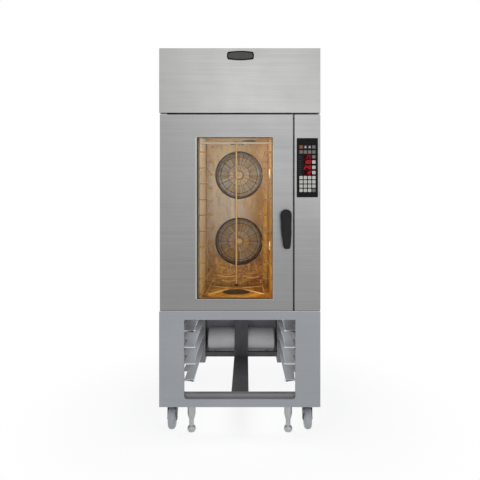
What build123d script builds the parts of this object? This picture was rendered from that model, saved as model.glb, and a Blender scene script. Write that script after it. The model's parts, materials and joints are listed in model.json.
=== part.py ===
from build123d import *
from math import cos, radians, sin
import os

# A floor-standing combi oven with a glazed side-hung door, an extraction hood and a castor stand.
# Millimetres. X runs to the right as seen from the front, Y runs back, Z runs up.
# The origin lies on the floor, under the middle of the whole oven.
os.makedirs("parts", exist_ok=True)

# Overall size
width = 904
body_depth = 930
oven_floor_z = 683
oven_roof_z = 1800
hood_height = 362
hood_rim = 60
hood_front_rim = 120
spigot_height = 60
handle_reach = 56
rear_reach = 34

# Sheet, tube and running gaps
sheet = 1.5
stand_sheet = 2
foot_plate = 4
tube = 34
tube_wall = 2
clear = 0.3
weld_gap = 0.2
running = 0.06

# Stand
stand_bottom_z = 150
leg_width = 140
leg_side_depth = 150
top_rail_height = 44
skirt_height = 44
bay_corner = 16
lip_depth = 18
base_tube_drop = 10
column_width = 192
channel_width = 100
channel_height = 14
strap_thickness = 3
strap_taper = 12
strap_bolt_radius = 5
strap_bolt_height = 3
strap_bolt_spread = 60
runner_levels = 4
runner_drop = 59
runner_pitch = 93
runner_width = 53
runner_height = 10
tank_radius = 85
tank_end_gap = 18
tank_wall = 2
tank_lift = 102
tank_edge = 8
tank_gap = 6
tank_back_gap = 1
cradle_inset = 52
cradle_thickness = 4

# Adjustable feet
foot_inset = 38
foot_depth = 36
sleeve_radius = 22.5
sleeve_taper = 28
sleeve_length = 112
sleeve_mouth_radius = 16
stem_radius = 13.5
stem_top_gap = 35
sleeve_cap = 14
foot_radius = 24
foot_face_radius = 18
foot_belly_z = 15
foot_height = 34

# Castors
castor_front_inset = 64
castor_rear_inset = 80
castor_plate_width = 84
castor_plate_length = 104
castor_plate_thickness = 4
castor_trail = 28
race_radius = 31
race_height = 9
kingpin_radius = 6
kingpin_head_radius = 10
kingpin_head_height = 4.5
fork_plate = 3
fork_gap = 48
fork_disc_height = 5.5
fork_disc_radius = 38
fork_front_reach = 42
fork_back_reach = 36
fork_toe_radius = 14
axle_radius = 6
axle_nut_radius = 10
axle_nut_height = 4
wheel_radius = 62.5
wheel_width = 40
wheel_shoulder = 15
hub_radius = 22
hub_width = 47

# Door and control column
door_thickness = 54
door_edge_gap = 4
door_top_gap = 10
door_foot_gap = 7
frame_depth = 62
frame_sheet = 2
control_width = 145
control_slot = 10
window_hinge_margin = 207
window_latch_margin = 111
window_foot_margin = 65
window_head_margin = 126
glass_thickness = 5
glass_overlap = 6
spacer_width = 2
skin_return = 44
inner_return = 30
hinge_inset_x = 20
hinge_plate = 5
hinge_plate_width = 40
hinge_plate_nose = 14
hinge_shoulder_radius = 11
hinge_pin_radius = 6
hinge_pin_length = 26
hinge_block = 30
gasket_offset = 8
gasket_width = 14
gasket_round = 3

# Handle and latch
handle_inset = 40
handle_height = 537
handle_length = 168
handle_head_radius = 32
handle_tail_radius = 20
handle_tail_shift = 4
handle_thickness = 28
handle_edge = 9
boss_radius = 26
spindle_radius = 8
cam_length = 34
cam_height = 14
cam_thickness = 5
cam_gap = 1.5
catch_height = 14
catch_width = 24

# Cooking chamber
cavity_rim = 4
chamber_lift = 37
chamber_head = 69
motor_bay = 140
fan_bay = 122
baffle_slot = 30
baffle_flange = 20
fan_shift_x = 13.5
fan_head_gap = 230
fan_pitch = 468
intake_margin = 12
fan_length = 58
fan_gap = 22
fan_blades = 16
fan_blade_root = 70
fan_blade_inset = 2
fan_blade_sheet = 2
fan_disc = 3
fan_hub_radius = 22
shaft_radius = 7
shaft_gap = 1
shaft_reach = 63
shaft_end_gap = 9
motor_radius = 65
motor_flange_radius = 75
motor_flange = 6
motor_length = 90
motor_stud_radius = 5
motor_stud_circle = 60
heater_wall_gap = 26
heater_fan_gap = 30
heater_tube_radius = 4.2
heater_leg_radius = 3.2
heater_first_gap = 15
heater_rings = 2
heater_pitch = 28
heater_leg_angle = 40
heater_leg_step = 12
guard_lap = 6
guard_ring_gap = 42
guard_hub_radius = 30
guard_wire = 4
guard_spokes = 16
rack_levels = 10
rack_pitch = 92.3
rack_floor_gap = 42
rack_wall_gap = 5
rack_post_width = 12
rack_post_sheet = 4
rack_rail_reach = 40
rack_wire_radius = 3
rack_front_depth = 43
rack_back_gap = 25
rack_bend = 12
pipe_radius = 5
pipe_wall = 1
pipe_shift_x = -5
pipe_gap = 20
lamp_lens_radius = 28
lamp_lens_proud = 6
lamp_neck_radius = 20
lamp_body_radius = 33
lamp_body_length = 34
lamp_depth = 311
lamp_fan_drop = 14
lamp_drop = 460
insulation_gap = 0.3
insulation_thickness = 42
insulation_hole_gap = 5

# Back vents, duct, drain, water and power
vent_count = 7
vent_pitch = 14
vent_length = 110
vent_height = 6
spigot_seat = 1
spigot_step = 1
duct_radius = 50
duct_shift_x = 87
duct_baffle_gap = 68
drain_width = 60
drain_head = 30
drain_end_gap = 4.5
drain_lift = 7
drain_height = 24
sump_radius = 18
sump_inset = 296
drain_spigot_radius = 16
drain_wall = 2
inlet_inset = 122
inlet_lift = 77
inlet_radius = 13.2
inlet_wall = 3
inlet_reach = 28
inlet_block = 40
gland_inset = 62
gland_lift = 77
gland_radius = 16
gland_bore_radius = 7
gland_reach = 22
gland_round = 3
gland_nut_radius = 22
gland_nut_height = 8

# Control panel and badge
panel_inset_x = 12
panel_width = 119
panel_height = 332
panel_lift = 636
panel_thickness = 1.2
panel_corner = 4
key_columns = 4
key_rows = 4
key_width = 20
key_height = 19
key_pitch = 23.8
key_raise = 0.6
key_corner = 2
key_left_x = 24.5
key_bottom_z = 39
symbol_bottom_z = 254
symbol_rows = 2
symbol_pitch = 28
set_keys = 4
set_key_bottom_z = 138.5
set_key_pitch = 29.5
display_width = 44
display_height = 25
display_shift_x = 61
board_gap = 20
board_thickness = 2
board_margin = 8
board_pillar_radius = 4
display_module = 8
badge_x = 4
badge_drop = 42
badge_width = 152
badge_height = 52
badge_bow = 6
badge_side_bow = 5
badge_thickness = 3
badge_rim = 4
badge_recess = 1

# Places worked out from the sizes above: the stand
front_y = handle_reach - (handle_reach + body_depth + rear_reach) / 2
half_width = width / 2
bay_half = half_width - leg_width
bay_floor_z = stand_bottom_z + skirt_height
bay_top_z = oven_floor_z - top_rail_height
base_tube_z = bay_floor_z - base_tube_drop
rear_rail_z = bay_floor_z
top_tube_z = oven_floor_z - tube
side_tube = half_width - stand_sheet - tube
column_depth = tank_gap + 2 * tank_radius + tank_back_gap + 2 * sheet
column_front = body_depth - column_depth
column_inner = half_width - column_width
tank_depth = column_front + tank_gap + tank_radius
tank_axis_z = bay_floor_z + tank_lift
tank_length = 2 * (column_inner - tank_end_gap)
cradle_spread = tank_length / 2 - cradle_inset
runner_top_z = bay_top_z - runner_drop
foot_x = bay_half - foot_inset
sleeve_bottom_z = base_tube_z - sleeve_length
sleeve_taper_z = sleeve_bottom_z + sleeve_taper
sleeve_bore_top_z = base_tube_z - sleeve_cap
stem_top_z = sleeve_bore_top_z - stem_top_gap
castor_front_x = half_width - castor_front_inset
castor_rear_x = half_width - castor_rear_inset
castor_front_depth = leg_side_depth - castor_plate_length / 2
castor_rear_depth = body_depth - castor_plate_length / 2

# The casing, the door and the window
hood_top_z = oven_roof_z + hood_height
badge_z = hood_top_z - badge_drop
base_pan_top = oven_floor_z + 2 * sheet
roof_bottom = oven_roof_z - 2 * sheet
control_left = half_width - control_width
door_left = -half_width + door_edge_gap
door_right = control_left - control_slot
door_bottom = oven_floor_z + door_foot_gap
door_top = oven_roof_z - door_top_gap
window_left = door_left + window_hinge_margin
window_right = door_right - window_latch_margin
window_bottom = door_bottom + window_foot_margin
window_top = door_top - window_head_margin
hinge_x = door_left + hinge_inset_x
hinge_depth = door_thickness / 2
handle_axis_x = door_right - handle_inset
handle_axis_z = door_bottom + handle_height
panel_bottom_z = door_bottom + panel_lift

# The cooking chamber and what it holds
cavity_left = window_left - cavity_rim
cavity_right = window_right + cavity_rim
cavity_x = (cavity_left + cavity_right) / 2
cavity_floor_z = oven_floor_z + chamber_lift
cavity_ceiling_z = oven_roof_z - chamber_head
cavity_front = frame_depth + frame_sheet
cavity_back = body_depth - motor_bay
baffle_front = cavity_back - fan_bay
fan_x = cavity_x + fan_shift_x
fan_top_z = cavity_ceiling_z - fan_head_gap
fan_z = (fan_top_z, fan_top_z - fan_pitch)
fan_front = baffle_front + fan_gap
fan_back = fan_front + fan_length
fan_room = min(fan_x - cavity_left, cavity_right - fan_x)
heater_radius = fan_room - heater_wall_gap
fan_radius = heater_radius - heater_fan_gap
intake_radius = fan_radius + intake_margin
guard_radius = intake_radius + guard_lap
guard_inner_radius = guard_radius - guard_ring_gap
rack_bottom_z = cavity_floor_z + rack_floor_gap
rack_length = baffle_front - rack_back_gap - cavity_front - rack_front_depth
lamp_upper_z = fan_top_z - lamp_fan_drop
lamp_z = (lamp_upper_z, lamp_upper_z - lamp_drop)

# Ducts and connections
duct_x = cavity_x + duct_shift_x
duct_depth = baffle_front - duct_baffle_gap
duct_bore = duct_radius - spigot_step - sheet
sump_depth = cavity_front + sump_inset
drain_start_depth = sump_depth - drain_head
drain_end_depth = body_depth - sheet - drain_end_gap
drain_bottom_z = oven_floor_z + drain_lift
inlet_x = -half_width + inlet_inset
inlet_z = oven_floor_z + inlet_lift
gland_x = half_width - gland_inset
gland_z = oven_floor_z + gland_lift
castors = {
    "front_left": (-castor_front_x, castor_front_depth),
    "front_right": (castor_front_x, castor_front_depth),
    "rear_left": (-castor_rear_x, castor_rear_depth),
    "rear_right": (castor_rear_x, castor_rear_depth),
}


def at(depth):
    """The Y of a place that lies a depth behind the oven's front face."""
    return front_y + depth


def facing(depth):
    """A plane at a depth behind the front, seen from the front, with X right and Z up."""
    return Plane.XZ.offset(-at(depth))


def block(x0, x1, depth0, depth1, z0, z1, mode=Mode.ADD):
    """A block between two corners, placed by X, depth and Z."""
    with Locations(((x0 + x1) / 2, at((depth0 + depth1) / 2), (z0 + z1) / 2)):
        Box(x1 - x0, depth1 - depth0, z1 - z0, mode=mode)


def rod(start, end, radius, mode=Mode.ADD):
    """A round bar between two points, each given as X, depth and Z."""
    first = Vector(start[0], at(start[1]), start[2])
    last = Vector(end[0], at(end[1]), end[2])
    with Locations(Plane(origin=(first + last) / 2, z_dir=last - first).location):
        Cylinder(radius, (last - first).length, mode=mode)


def hollow_tube(x0, x1, depth0, depth1, z0, z1, axis):
    """A square tube, open at both ends along its axis."""
    cut_x = 0 if axis == Axis.X else tube_wall
    cut_depth = 0 if axis == Axis.Y else tube_wall
    block(x0, x1, depth0, depth1, z0, z1)
    block(
        x0 + cut_x, x1 - cut_x, depth0 + cut_depth, depth1 - cut_depth,
        z0 + tube_wall, z1 - tube_wall, mode=Mode.SUBTRACT,
    )


def rect(x0, x1, z0, z1, mode=Mode.ADD):
    """A rectangle between two corners of a facing plane."""
    with Locations(((x0 + x1) / 2, (z0 + z1) / 2)):
        Rectangle(x1 - x0, z1 - z0, mode=mode)


def barrel(half_w, half_h, bow, side_bow):
    """A closed outline with all four edges bowed outwards, around the badge's middle."""
    left, right = badge_x - half_w + side_bow, badge_x + half_w - side_bow
    low, high = badge_z - half_h + bow, badge_z + half_h - bow
    ThreePointArc((left, high), (badge_x, badge_z + half_h), (right, high))
    ThreePointArc((right, high), (badge_x + half_w, badge_z), (right, low))
    ThreePointArc((right, low), (badge_x, badge_z - half_h), (left, low))
    ThreePointArc((left, low), (badge_x - half_w, badge_z), (left, high))


# Stand

with BuildSketch(facing(0)) as bay_opening:
    rect(-bay_half, bay_half, bay_floor_z, bay_top_z)
    fillet(bay_opening.vertices().group_by(Axis.Y)[0], bay_corner)

# The folded front of the stand: two wide legs, the top rail and the skirt in one sheet
with BuildPart() as stand_front_frame:
    block(-half_width, half_width, 0, stand_sheet, stand_bottom_z, oven_floor_z)
    block(
        -bay_half - stand_sheet, bay_half + stand_sheet, stand_sheet, lip_depth,
        bay_floor_z - stand_sheet, bay_top_z + stand_sheet,
    )
    extrude(bay_opening.sketch, amount=-lip_depth, mode=Mode.SUBTRACT)
    for side in (-1, 1):
        outer, inner = side * half_width, side * (half_width - stand_sheet)
        block(
            min(outer, inner), max(outer, inner), stand_sheet, leg_side_depth,
            stand_bottom_z, oven_floor_z,
        )
        inner, toe = side * (half_width - stand_sheet), side * (bay_half + stand_sheet)
        block(
            min(inner, toe), max(inner, toe), stand_sheet, leg_side_depth,
            stand_bottom_z, stand_bottom_z + foot_plate,
        )
stand_front_frame.part.label = "stand_front_frame"
export_step(stand_front_frame.part, "parts/stand_front_frame.step")

# The two rear columns are closed boxes of folded sheet, with a thicker floor for the castor
with BuildPart() as rear_columns:
    for side in (-1, 1):
        low, high = sorted((side * column_inner, side * half_width))
        block(low, high, column_front, body_depth, stand_bottom_z, oven_floor_z)
        block(
            low + stand_sheet, high - stand_sheet,
            column_front + stand_sheet, body_depth - stand_sheet,
            stand_bottom_z + foot_plate, oven_floor_z - stand_sheet, mode=Mode.SUBTRACT,
        )
rear_columns.part.label = "rear_columns"
export_step(rear_columns.part, "parts/rear_columns.step")

# Square tubes that join the front legs to the rear columns
with BuildPart() as stand_tubes:
    for low, high in ((-side_tube - tube, -side_tube), (side_tube, side_tube + tube)):
        hollow_tube(low, high, lip_depth, column_front, base_tube_z, base_tube_z + tube, Axis.Y)
        hollow_tube(low, high, stand_sheet, column_front, top_tube_z, oven_floor_z, Axis.Y)
    cross = side_tube - weld_gap
    hollow_tube(-cross, cross, lip_depth, lip_depth + tube, base_tube_z, base_tube_z + tube, Axis.X)
    hollow_tube(-cross, cross, stand_sheet, stand_sheet + tube, top_tube_z, oven_floor_z, Axis.X)
    hollow_tube(
        -column_inner, column_inner, column_front, column_front + tube,
        rear_rail_z, rear_rail_z + tube, Axis.X,
    )
    hollow_tube(
        -column_inner, column_inner, column_front, column_front + tube,
        top_tube_z, oven_floor_z, Axis.X,
    )
stand_tubes.part.label = "stand_tubes"
export_step(stand_tubes.part, "parts/stand_tubes.step")

# Dark channel along the floor of the stand
half_channel = channel_width / 2
channel_front = lip_depth + tube
with BuildPart() as floor_channel:
    block(
        -half_channel, half_channel, channel_front, column_front + tube,
        rear_rail_z - channel_height, rear_rail_z,
    )
    block(
        -half_channel + strap_thickness, half_channel - strap_thickness,
        channel_front, column_front + tube,
        rear_rail_z - channel_height, rear_rail_z - strap_thickness, mode=Mode.SUBTRACT,
    )
floor_channel.part.label = "floor_channel"
export_step(floor_channel.part, "parts/floor_channel.step")

# Dark strap that rises from the channel in front of the tank, bolted to the rear rail
with BuildPart() as rear_strap:
    with BuildSketch(facing(column_front)):
        with BuildLine():
            Polyline(
                (-half_channel, rear_rail_z),
                (half_channel, rear_rail_z),
                (half_channel, oven_floor_z - tube_wall),
                (-half_channel + strap_taper, oven_floor_z - tube_wall),
                close=True,
            )
        make_face()
    extrude(amount=strap_thickness)
    bolt_z = rear_rail_z + tube / 2
    for x in (-strap_bolt_spread / 2, strap_bolt_spread / 2):
        face = column_front - strap_thickness
        rod((x, face - strap_bolt_height, bolt_z), (x, face, bolt_z), strap_bolt_radius)
rear_strap.part.label = "rear_strap"
export_step(rear_strap.part, "parts/rear_strap.step")

# Four pairs of inverted channels that carry trays in the stand
with BuildPart() as tray_runners:
    for level in range(runner_levels):
        top = runner_top_z - level * runner_pitch
        for side in (-1, 1):
            low, high = sorted((side * bay_half, side * (bay_half - runner_width)))
            block(low, high, stand_sheet, column_front, top - runner_height, top)
            block(
                low + sheet, high - sheet, stand_sheet, column_front,
                top - runner_height, top - sheet, mode=Mode.SUBTRACT,
            )
tray_runners.part.label = "tray_runners"
export_step(tray_runners.part, "parts/tray_runners.step")

with BuildPart() as stand_back_panel:
    block(
        -column_inner, column_inner, body_depth - 2 * sheet, body_depth - sheet,
        stand_bottom_z, oven_floor_z,
    )
stand_back_panel.part.label = "stand_back_panel"
export_step(stand_back_panel.part, "parts/stand_back_panel.step")

# Horizontal steel water tank between the rear columns
with BuildPart() as water_tank:
    half_tank = tank_length / 2
    rod((-half_tank, tank_depth, tank_axis_z), (half_tank, tank_depth, tank_axis_z), tank_radius)
    fillet(water_tank.edges().filter_by(GeomType.CIRCLE), tank_edge)
    half_tank -= tank_wall
    rod(
        (-half_tank, tank_depth, tank_axis_z), (half_tank, tank_depth, tank_axis_z),
        tank_radius - tank_edge, mode=Mode.SUBTRACT,
    )
water_tank.part.label = "water_tank"
export_step(water_tank.part, "parts/water_tank.step")

# Two saddles between the rear rail and the back panel hold the tank
with BuildPart() as tank_cradles:
    for x in (-cradle_spread, cradle_spread):
        block(
            x - cradle_thickness / 2, x + cradle_thickness / 2,
            column_front + tube, body_depth - 2 * sheet, rear_rail_z, tank_axis_z,
        )
    rod(
        (-tank_length, tank_depth, tank_axis_z), (tank_length, tank_depth, tank_axis_z),
        tank_radius + clear, mode=Mode.SUBTRACT,
    )
tank_cradles.part.label = "tank_cradles"
export_step(tank_cradles.part, "parts/tank_cradles.step")

# Sleeves of the adjustable feet, welded under the front base tube
with BuildPart() as foot_sleeves:
    for x in (-foot_x, foot_x):
        with BuildSketch(Plane(origin=(x, at(foot_depth), 0), x_dir=(1, 0, 0), z_dir=(0, -1, 0))):
            with BuildLine():
                Polyline(
                    (stem_radius + running, sleeve_bottom_z),
                    (sleeve_mouth_radius, sleeve_bottom_z),
                    (sleeve_radius, sleeve_taper_z),
                    (sleeve_radius, base_tube_z),
                    (0, base_tube_z),
                    (0, sleeve_bore_top_z),
                    (stem_radius + running, sleeve_bore_top_z),
                    close=True,
                )
            make_face()
        revolve(axis=Axis((x, at(foot_depth), 0), (0, 0, 1)))
foot_sleeves.part.label = "foot_sleeves"
export_step(foot_sleeves.part, "parts/foot_sleeves.step")

# The two feet that screw in and out of their sleeves
for name, x in (("foot_left", -foot_x), ("foot_right", foot_x)):
    with BuildPart() as foot:
        with BuildSketch(Plane(origin=(x, at(foot_depth), 0), x_dir=(1, 0, 0), z_dir=(0, -1, 0))):
            with BuildLine():
                Polyline((0, stem_top_z), (0, 0), (foot_face_radius, 0))
                ThreePointArc(
                    (foot_face_radius, 0),
                    (foot_radius, foot_belly_z),
                    (stem_radius, foot_height),
                )
                Polyline((stem_radius, foot_height), (stem_radius, stem_top_z), (0, stem_top_z))
            make_face()
        revolve(axis=Axis((x, at(foot_depth), 0), (0, 0, 1)))
    foot.part.label = name
    export_step(foot.part, f"parts/{name}.step")

# Castors

race_bottom = stand_bottom_z - castor_plate_thickness - race_height
fork_top = race_bottom - clear
fork_disc_bottom = fork_top - fork_disc_height
pin_head_top = fork_disc_bottom - clear

# Top plates with their ball races and kingpins, bolted under the stand
with BuildPart() as castor_plates:
    for x, depth in castors.values():
        block(
            x - castor_plate_width / 2, x + castor_plate_width / 2,
            depth - castor_plate_length / 2, depth + castor_plate_length / 2,
            stand_bottom_z - castor_plate_thickness, stand_bottom_z,
        )
        rod((x, depth, race_bottom), (x, depth, stand_bottom_z - castor_plate_thickness), race_radius)
        rod((x, depth, pin_head_top), (x, depth, race_bottom), kingpin_radius)
        rod(
            (x, depth, pin_head_top - kingpin_head_height), (x, depth, pin_head_top),
            kingpin_head_radius,
        )
castor_plates.part.label = "castor_plates"
export_step(castor_plates.part, "parts/castor_plates.step")

for name, (x, depth) in castors.items():
    axle_depth = depth - castor_trail
    # Swivelling fork with the wheel's axle
    with BuildPart() as castor_fork:
        rod((x, depth, fork_disc_bottom), (x, depth, fork_top), fork_disc_radius)
        for side in (-1, 1):
            inner = x + side * fork_gap / 2
            with BuildSketch(Plane(origin=(inner, 0, 0), x_dir=(0, 1, 0), z_dir=(1, 0, 0))):
                with BuildLine():
                    Polyline(
                        (at(depth + fork_back_reach), fork_top),
                        (at(axle_depth + fork_toe_radius), wheel_radius),
                        (at(axle_depth - fork_toe_radius), wheel_radius),
                        (at(depth - fork_front_reach), fork_top),
                        close=True,
                    )
                make_face()
                with Locations((at(axle_depth), wheel_radius)):
                    Circle(fork_toe_radius)
            extrude(amount=side * fork_plate)
        rod(
            (x, depth, fork_disc_bottom), (x, depth, fork_top),
            kingpin_radius + running, mode=Mode.SUBTRACT,
        )
        reach = fork_gap / 2 + fork_plate
        rod((x - reach, axle_depth, wheel_radius), (x + reach, axle_depth, wheel_radius), axle_radius)
        for side in (-1, 1):
            rod(
                (x + side * reach, axle_depth, wheel_radius),
                (x + side * (reach + axle_nut_height), axle_depth, wheel_radius),
                axle_nut_radius,
            )
    castor_fork.part.label = f"castor_fork_{name}"
    export_step(castor_fork.part, f"parts/castor_fork_{name}.step")

    # Wheel with its hub
    with BuildPart() as castor_wheel:
        rod(
            (x - wheel_width / 2, axle_depth, wheel_radius),
            (x + wheel_width / 2, axle_depth, wheel_radius),
            wheel_radius,
        )
        fillet(castor_wheel.edges().filter_by(GeomType.CIRCLE), wheel_shoulder)
        rod(
            (x - hub_width / 2, axle_depth, wheel_radius),
            (x + hub_width / 2, axle_depth, wheel_radius),
            hub_radius,
        )
        rod(
            (x - hub_width, axle_depth, wheel_radius),
            (x + hub_width, axle_depth, wheel_radius),
            axle_radius + running, mode=Mode.SUBTRACT,
        )
    castor_wheel.part.label = f"castor_wheel_{name}"
    export_step(castor_wheel.part, f"parts/castor_wheel_{name}.step")

# Oven casing

with BuildPart() as base_pan:
    block(-half_width, half_width, frame_depth, body_depth, oven_floor_z, base_pan_top)
base_pan.part.label = "base_pan"
export_step(base_pan.part, "parts/base_pan.step")

for name, side in (("side_panel_left", -1), ("side_panel_right", 1)):
    with BuildPart() as side_panel:
        low, high = sorted((side * half_width, side * (half_width - sheet)))
        block(low, high, frame_depth, body_depth, base_pan_top, roof_bottom)
    side_panel.part.label = name
    export_step(side_panel.part, f"parts/{name}.step")

# Back panel, with cooling slots behind each motor and holes for the connections
inner_half = half_width - sheet
with BuildPart() as back_panel:
    block(-inner_half, inner_half, body_depth - sheet, body_depth, base_pan_top, roof_bottom)
    with BuildSketch(facing(body_depth)):
        for z in fan_z:
            with Locations((fan_x, z)):
                with GridLocations(0, vent_pitch, 1, vent_count):
                    SlotOverall(vent_length, vent_height)
        with Locations((inlet_x, inlet_z)):
            Circle(inlet_radius + clear)
        with Locations((gland_x, gland_z)):
            Circle(gland_radius + clear)
        with Locations((cavity_x, drain_bottom_z + drain_height / 2)):
            Circle(drain_spigot_radius + clear)
    extrude(amount=sheet, mode=Mode.SUBTRACT)
back_panel.part.label = "back_panel"
export_step(back_panel.part, "parts/back_panel.step")

with BuildPart() as roof_panel:
    block(-half_width, half_width, frame_depth, body_depth, roof_bottom, oven_roof_z)
    rod(
        (duct_x, duct_depth, roof_bottom), (duct_x, duct_depth, oven_roof_z),
        duct_radius + clear, mode=Mode.SUBTRACT,
    )
roof_panel.part.label = "roof_panel"
export_step(roof_panel.part, "parts/roof_panel.step")

# Plate around the mouth of the cooking chamber, which the door closes against
with BuildPart() as front_frame:
    with BuildSketch(facing(frame_depth)):
        rect(-inner_half, inner_half, base_pan_top, roof_bottom)
        rect(cavity_left, cavity_right, cavity_floor_z, cavity_ceiling_z, mode=Mode.SUBTRACT)
    extrude(amount=-frame_sheet)
front_frame.part.label = "front_frame"
export_step(front_frame.part, "parts/front_frame.step")

# Folded cover of the control column, flush with the door
with BuildPart() as control_column:
    block(control_left, half_width, 0, frame_depth, door_bottom, door_top)
    block(
        control_left + sheet, half_width - sheet, sheet, frame_depth,
        door_bottom + sheet, door_top - sheet, mode=Mode.SUBTRACT,
    )
control_column.part.label = "control_column"
export_step(control_column.part, "parts/control_column.step")

# Cooking chamber

with BuildPart() as cavity:
    block(
        cavity_left - sheet, cavity_right + sheet, cavity_front, cavity_back + sheet,
        cavity_floor_z - sheet, cavity_ceiling_z + sheet,
    )
    block(
        cavity_left, cavity_right, cavity_front, cavity_back,
        cavity_floor_z, cavity_ceiling_z, mode=Mode.SUBTRACT,
    )
    rod(
        (duct_x, duct_depth, cavity_ceiling_z), (duct_x, duct_depth, cavity_ceiling_z + sheet),
        duct_bore, mode=Mode.SUBTRACT,
    )
    rod(
        (cavity_x, sump_depth, cavity_floor_z - sheet), (cavity_x, sump_depth, cavity_floor_z),
        sump_radius - drain_wall, mode=Mode.SUBTRACT,
    )
    for z in fan_z:
        rod(
            (fan_x, cavity_back, z), (fan_x, cavity_back + sheet, z),
            shaft_radius + shaft_gap, mode=Mode.SUBTRACT,
        )
    for z in lamp_z:
        rod(
            (cavity_right, cavity_front + lamp_depth, z),
            (cavity_right + sheet, cavity_front + lamp_depth, z),
            lamp_neck_radius + clear, mode=Mode.SUBTRACT,
        )
cavity.part.label = "cavity"
export_step(cavity.part, "parts/cavity.step")

# Seal around the mouth
with BuildPart() as door_gasket:
    with BuildSketch(facing(frame_depth)):
        grow = gasket_offset + gasket_width
        rect(cavity_left - grow, cavity_right + grow, cavity_floor_z - grow, cavity_ceiling_z + grow)
        grow = gasket_offset
        rect(
            cavity_left - grow, cavity_right + grow,
            cavity_floor_z - grow, cavity_ceiling_z + grow, mode=Mode.SUBTRACT,
        )
    extrude(amount=frame_depth - door_thickness - clear)
    fillet(door_gasket.faces().sort_by(Axis.Y)[0].edges(), gasket_round)
door_gasket.part.label = "door_gasket"
export_step(door_gasket.part, "parts/door_gasket.step")

# Baffle in front of the fans, with an intake hole for each and a slot at each side
baffle_left = cavity_left + baffle_slot
baffle_right = cavity_right - baffle_slot
with BuildPart() as fan_baffle:
    block(
        baffle_left, baffle_right, baffle_front, baffle_front + baffle_flange,
        cavity_floor_z, cavity_ceiling_z,
    )
    block(
        baffle_left + sheet, baffle_right - sheet, baffle_front + sheet,
        baffle_front + baffle_flange, cavity_floor_z + sheet, cavity_ceiling_z - sheet,
        mode=Mode.SUBTRACT,
    )
    for z in fan_z:
        rod((fan_x, baffle_front, z), (fan_x, baffle_front + sheet, z), intake_radius, mode=Mode.SUBTRACT)
fan_baffle.part.label = "fan_baffle"
export_step(fan_baffle.part, "parts/fan_baffle.step")

# Round wire guards over the intakes
spoke_length = guard_radius - guard_hub_radius
with BuildPart() as fan_guards:
    with BuildSketch(facing(baffle_front)):
        for z in fan_z:
            with Locations((fan_x, z)):
                for radius in (guard_radius, guard_inner_radius, guard_hub_radius):
                    Circle(radius + guard_wire / 2)
                    Circle(radius - guard_wire / 2, mode=Mode.SUBTRACT)
                with PolarLocations((guard_radius + guard_hub_radius) / 2, guard_spokes):
                    Rectangle(spoke_length, guard_wire)
    extrude(amount=guard_wire)
fan_guards.part.label = "fan_guards"
export_step(fan_guards.part, "parts/fan_guards.step")

# Fan wheels, each with its shaft
motor_front = cavity_back + sheet + insulation_gap + insulation_thickness - motor_flange
fan_blade_tip = fan_radius - fan_blade_inset
for name, z in (("fan_wheel_upper", fan_z[0]), ("fan_wheel_lower", fan_z[1])):
    with BuildPart() as fan_wheel:
        rod((fan_x, fan_back - fan_disc, z), (fan_x, fan_back, z), fan_radius)
        rod((fan_x, fan_front, z), (fan_x, fan_back, z), fan_hub_radius)
        rod((fan_x, fan_back, z), (fan_x, motor_front + shaft_reach, z), shaft_radius)
        hub_line = Plane(origin=(fan_x, at((fan_front + fan_back) / 2), z), z_dir=(0, -1, 0))
        with Locations(hub_line.location):
            with PolarLocations((fan_blade_root + fan_blade_tip) / 2, fan_blades):
                Box(fan_blade_tip - fan_blade_root, fan_blade_sheet, fan_length)
    fan_wheel.part.label = name
    export_step(fan_wheel.part, f"parts/{name}.step")

# Fan motors, on studs that reach the back of the chamber
with BuildPart() as fan_motors:
    for z in fan_z:
        rod((fan_x, motor_front, z), (fan_x, motor_front + motor_flange, z), motor_flange_radius)
        rod((fan_x, motor_front, z), (fan_x, motor_front + motor_length, z), motor_radius)
        for corner in range(4):
            angle = radians(45 + 90 * corner)
            x = fan_x + motor_stud_circle * cos(angle)
            stud_z = z + motor_stud_circle * sin(angle)
            rod((x, cavity_back + sheet, stud_z), (x, motor_front, stud_z), motor_stud_radius)
        rod(
            (fan_x, motor_front, z), (fan_x, motor_front + shaft_reach + shaft_end_gap, z),
            shaft_radius + running, mode=Mode.SUBTRACT,
        )
fan_motors.part.label = "fan_motors"
export_step(fan_motors.part, "parts/fan_motors.step")

# Ring heaters around the fans, with their legs to the back wall
with BuildPart() as heating_elements:
    for z in fan_z:
        for ring in range(heater_rings):
            ring_depth = fan_front + heater_first_gap + ring * heater_pitch
            with Locations(Plane(origin=(fan_x, at(ring_depth), z), z_dir=(0, -1, 0)).location):
                Torus(heater_radius, heater_tube_radius)
            leg_angle = heater_leg_angle + ring * heater_leg_step
            for turn in (leg_angle, 180 - leg_angle):
                x = fan_x + heater_radius * cos(radians(turn))
                leg_z = z + heater_radius * sin(radians(turn))
                rod((x, ring_depth, leg_z), (x, cavity_back, leg_z), heater_leg_radius)
heating_elements.part.label = "heating_elements"
export_step(heating_elements.part, "parts/heating_elements.step")

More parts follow.
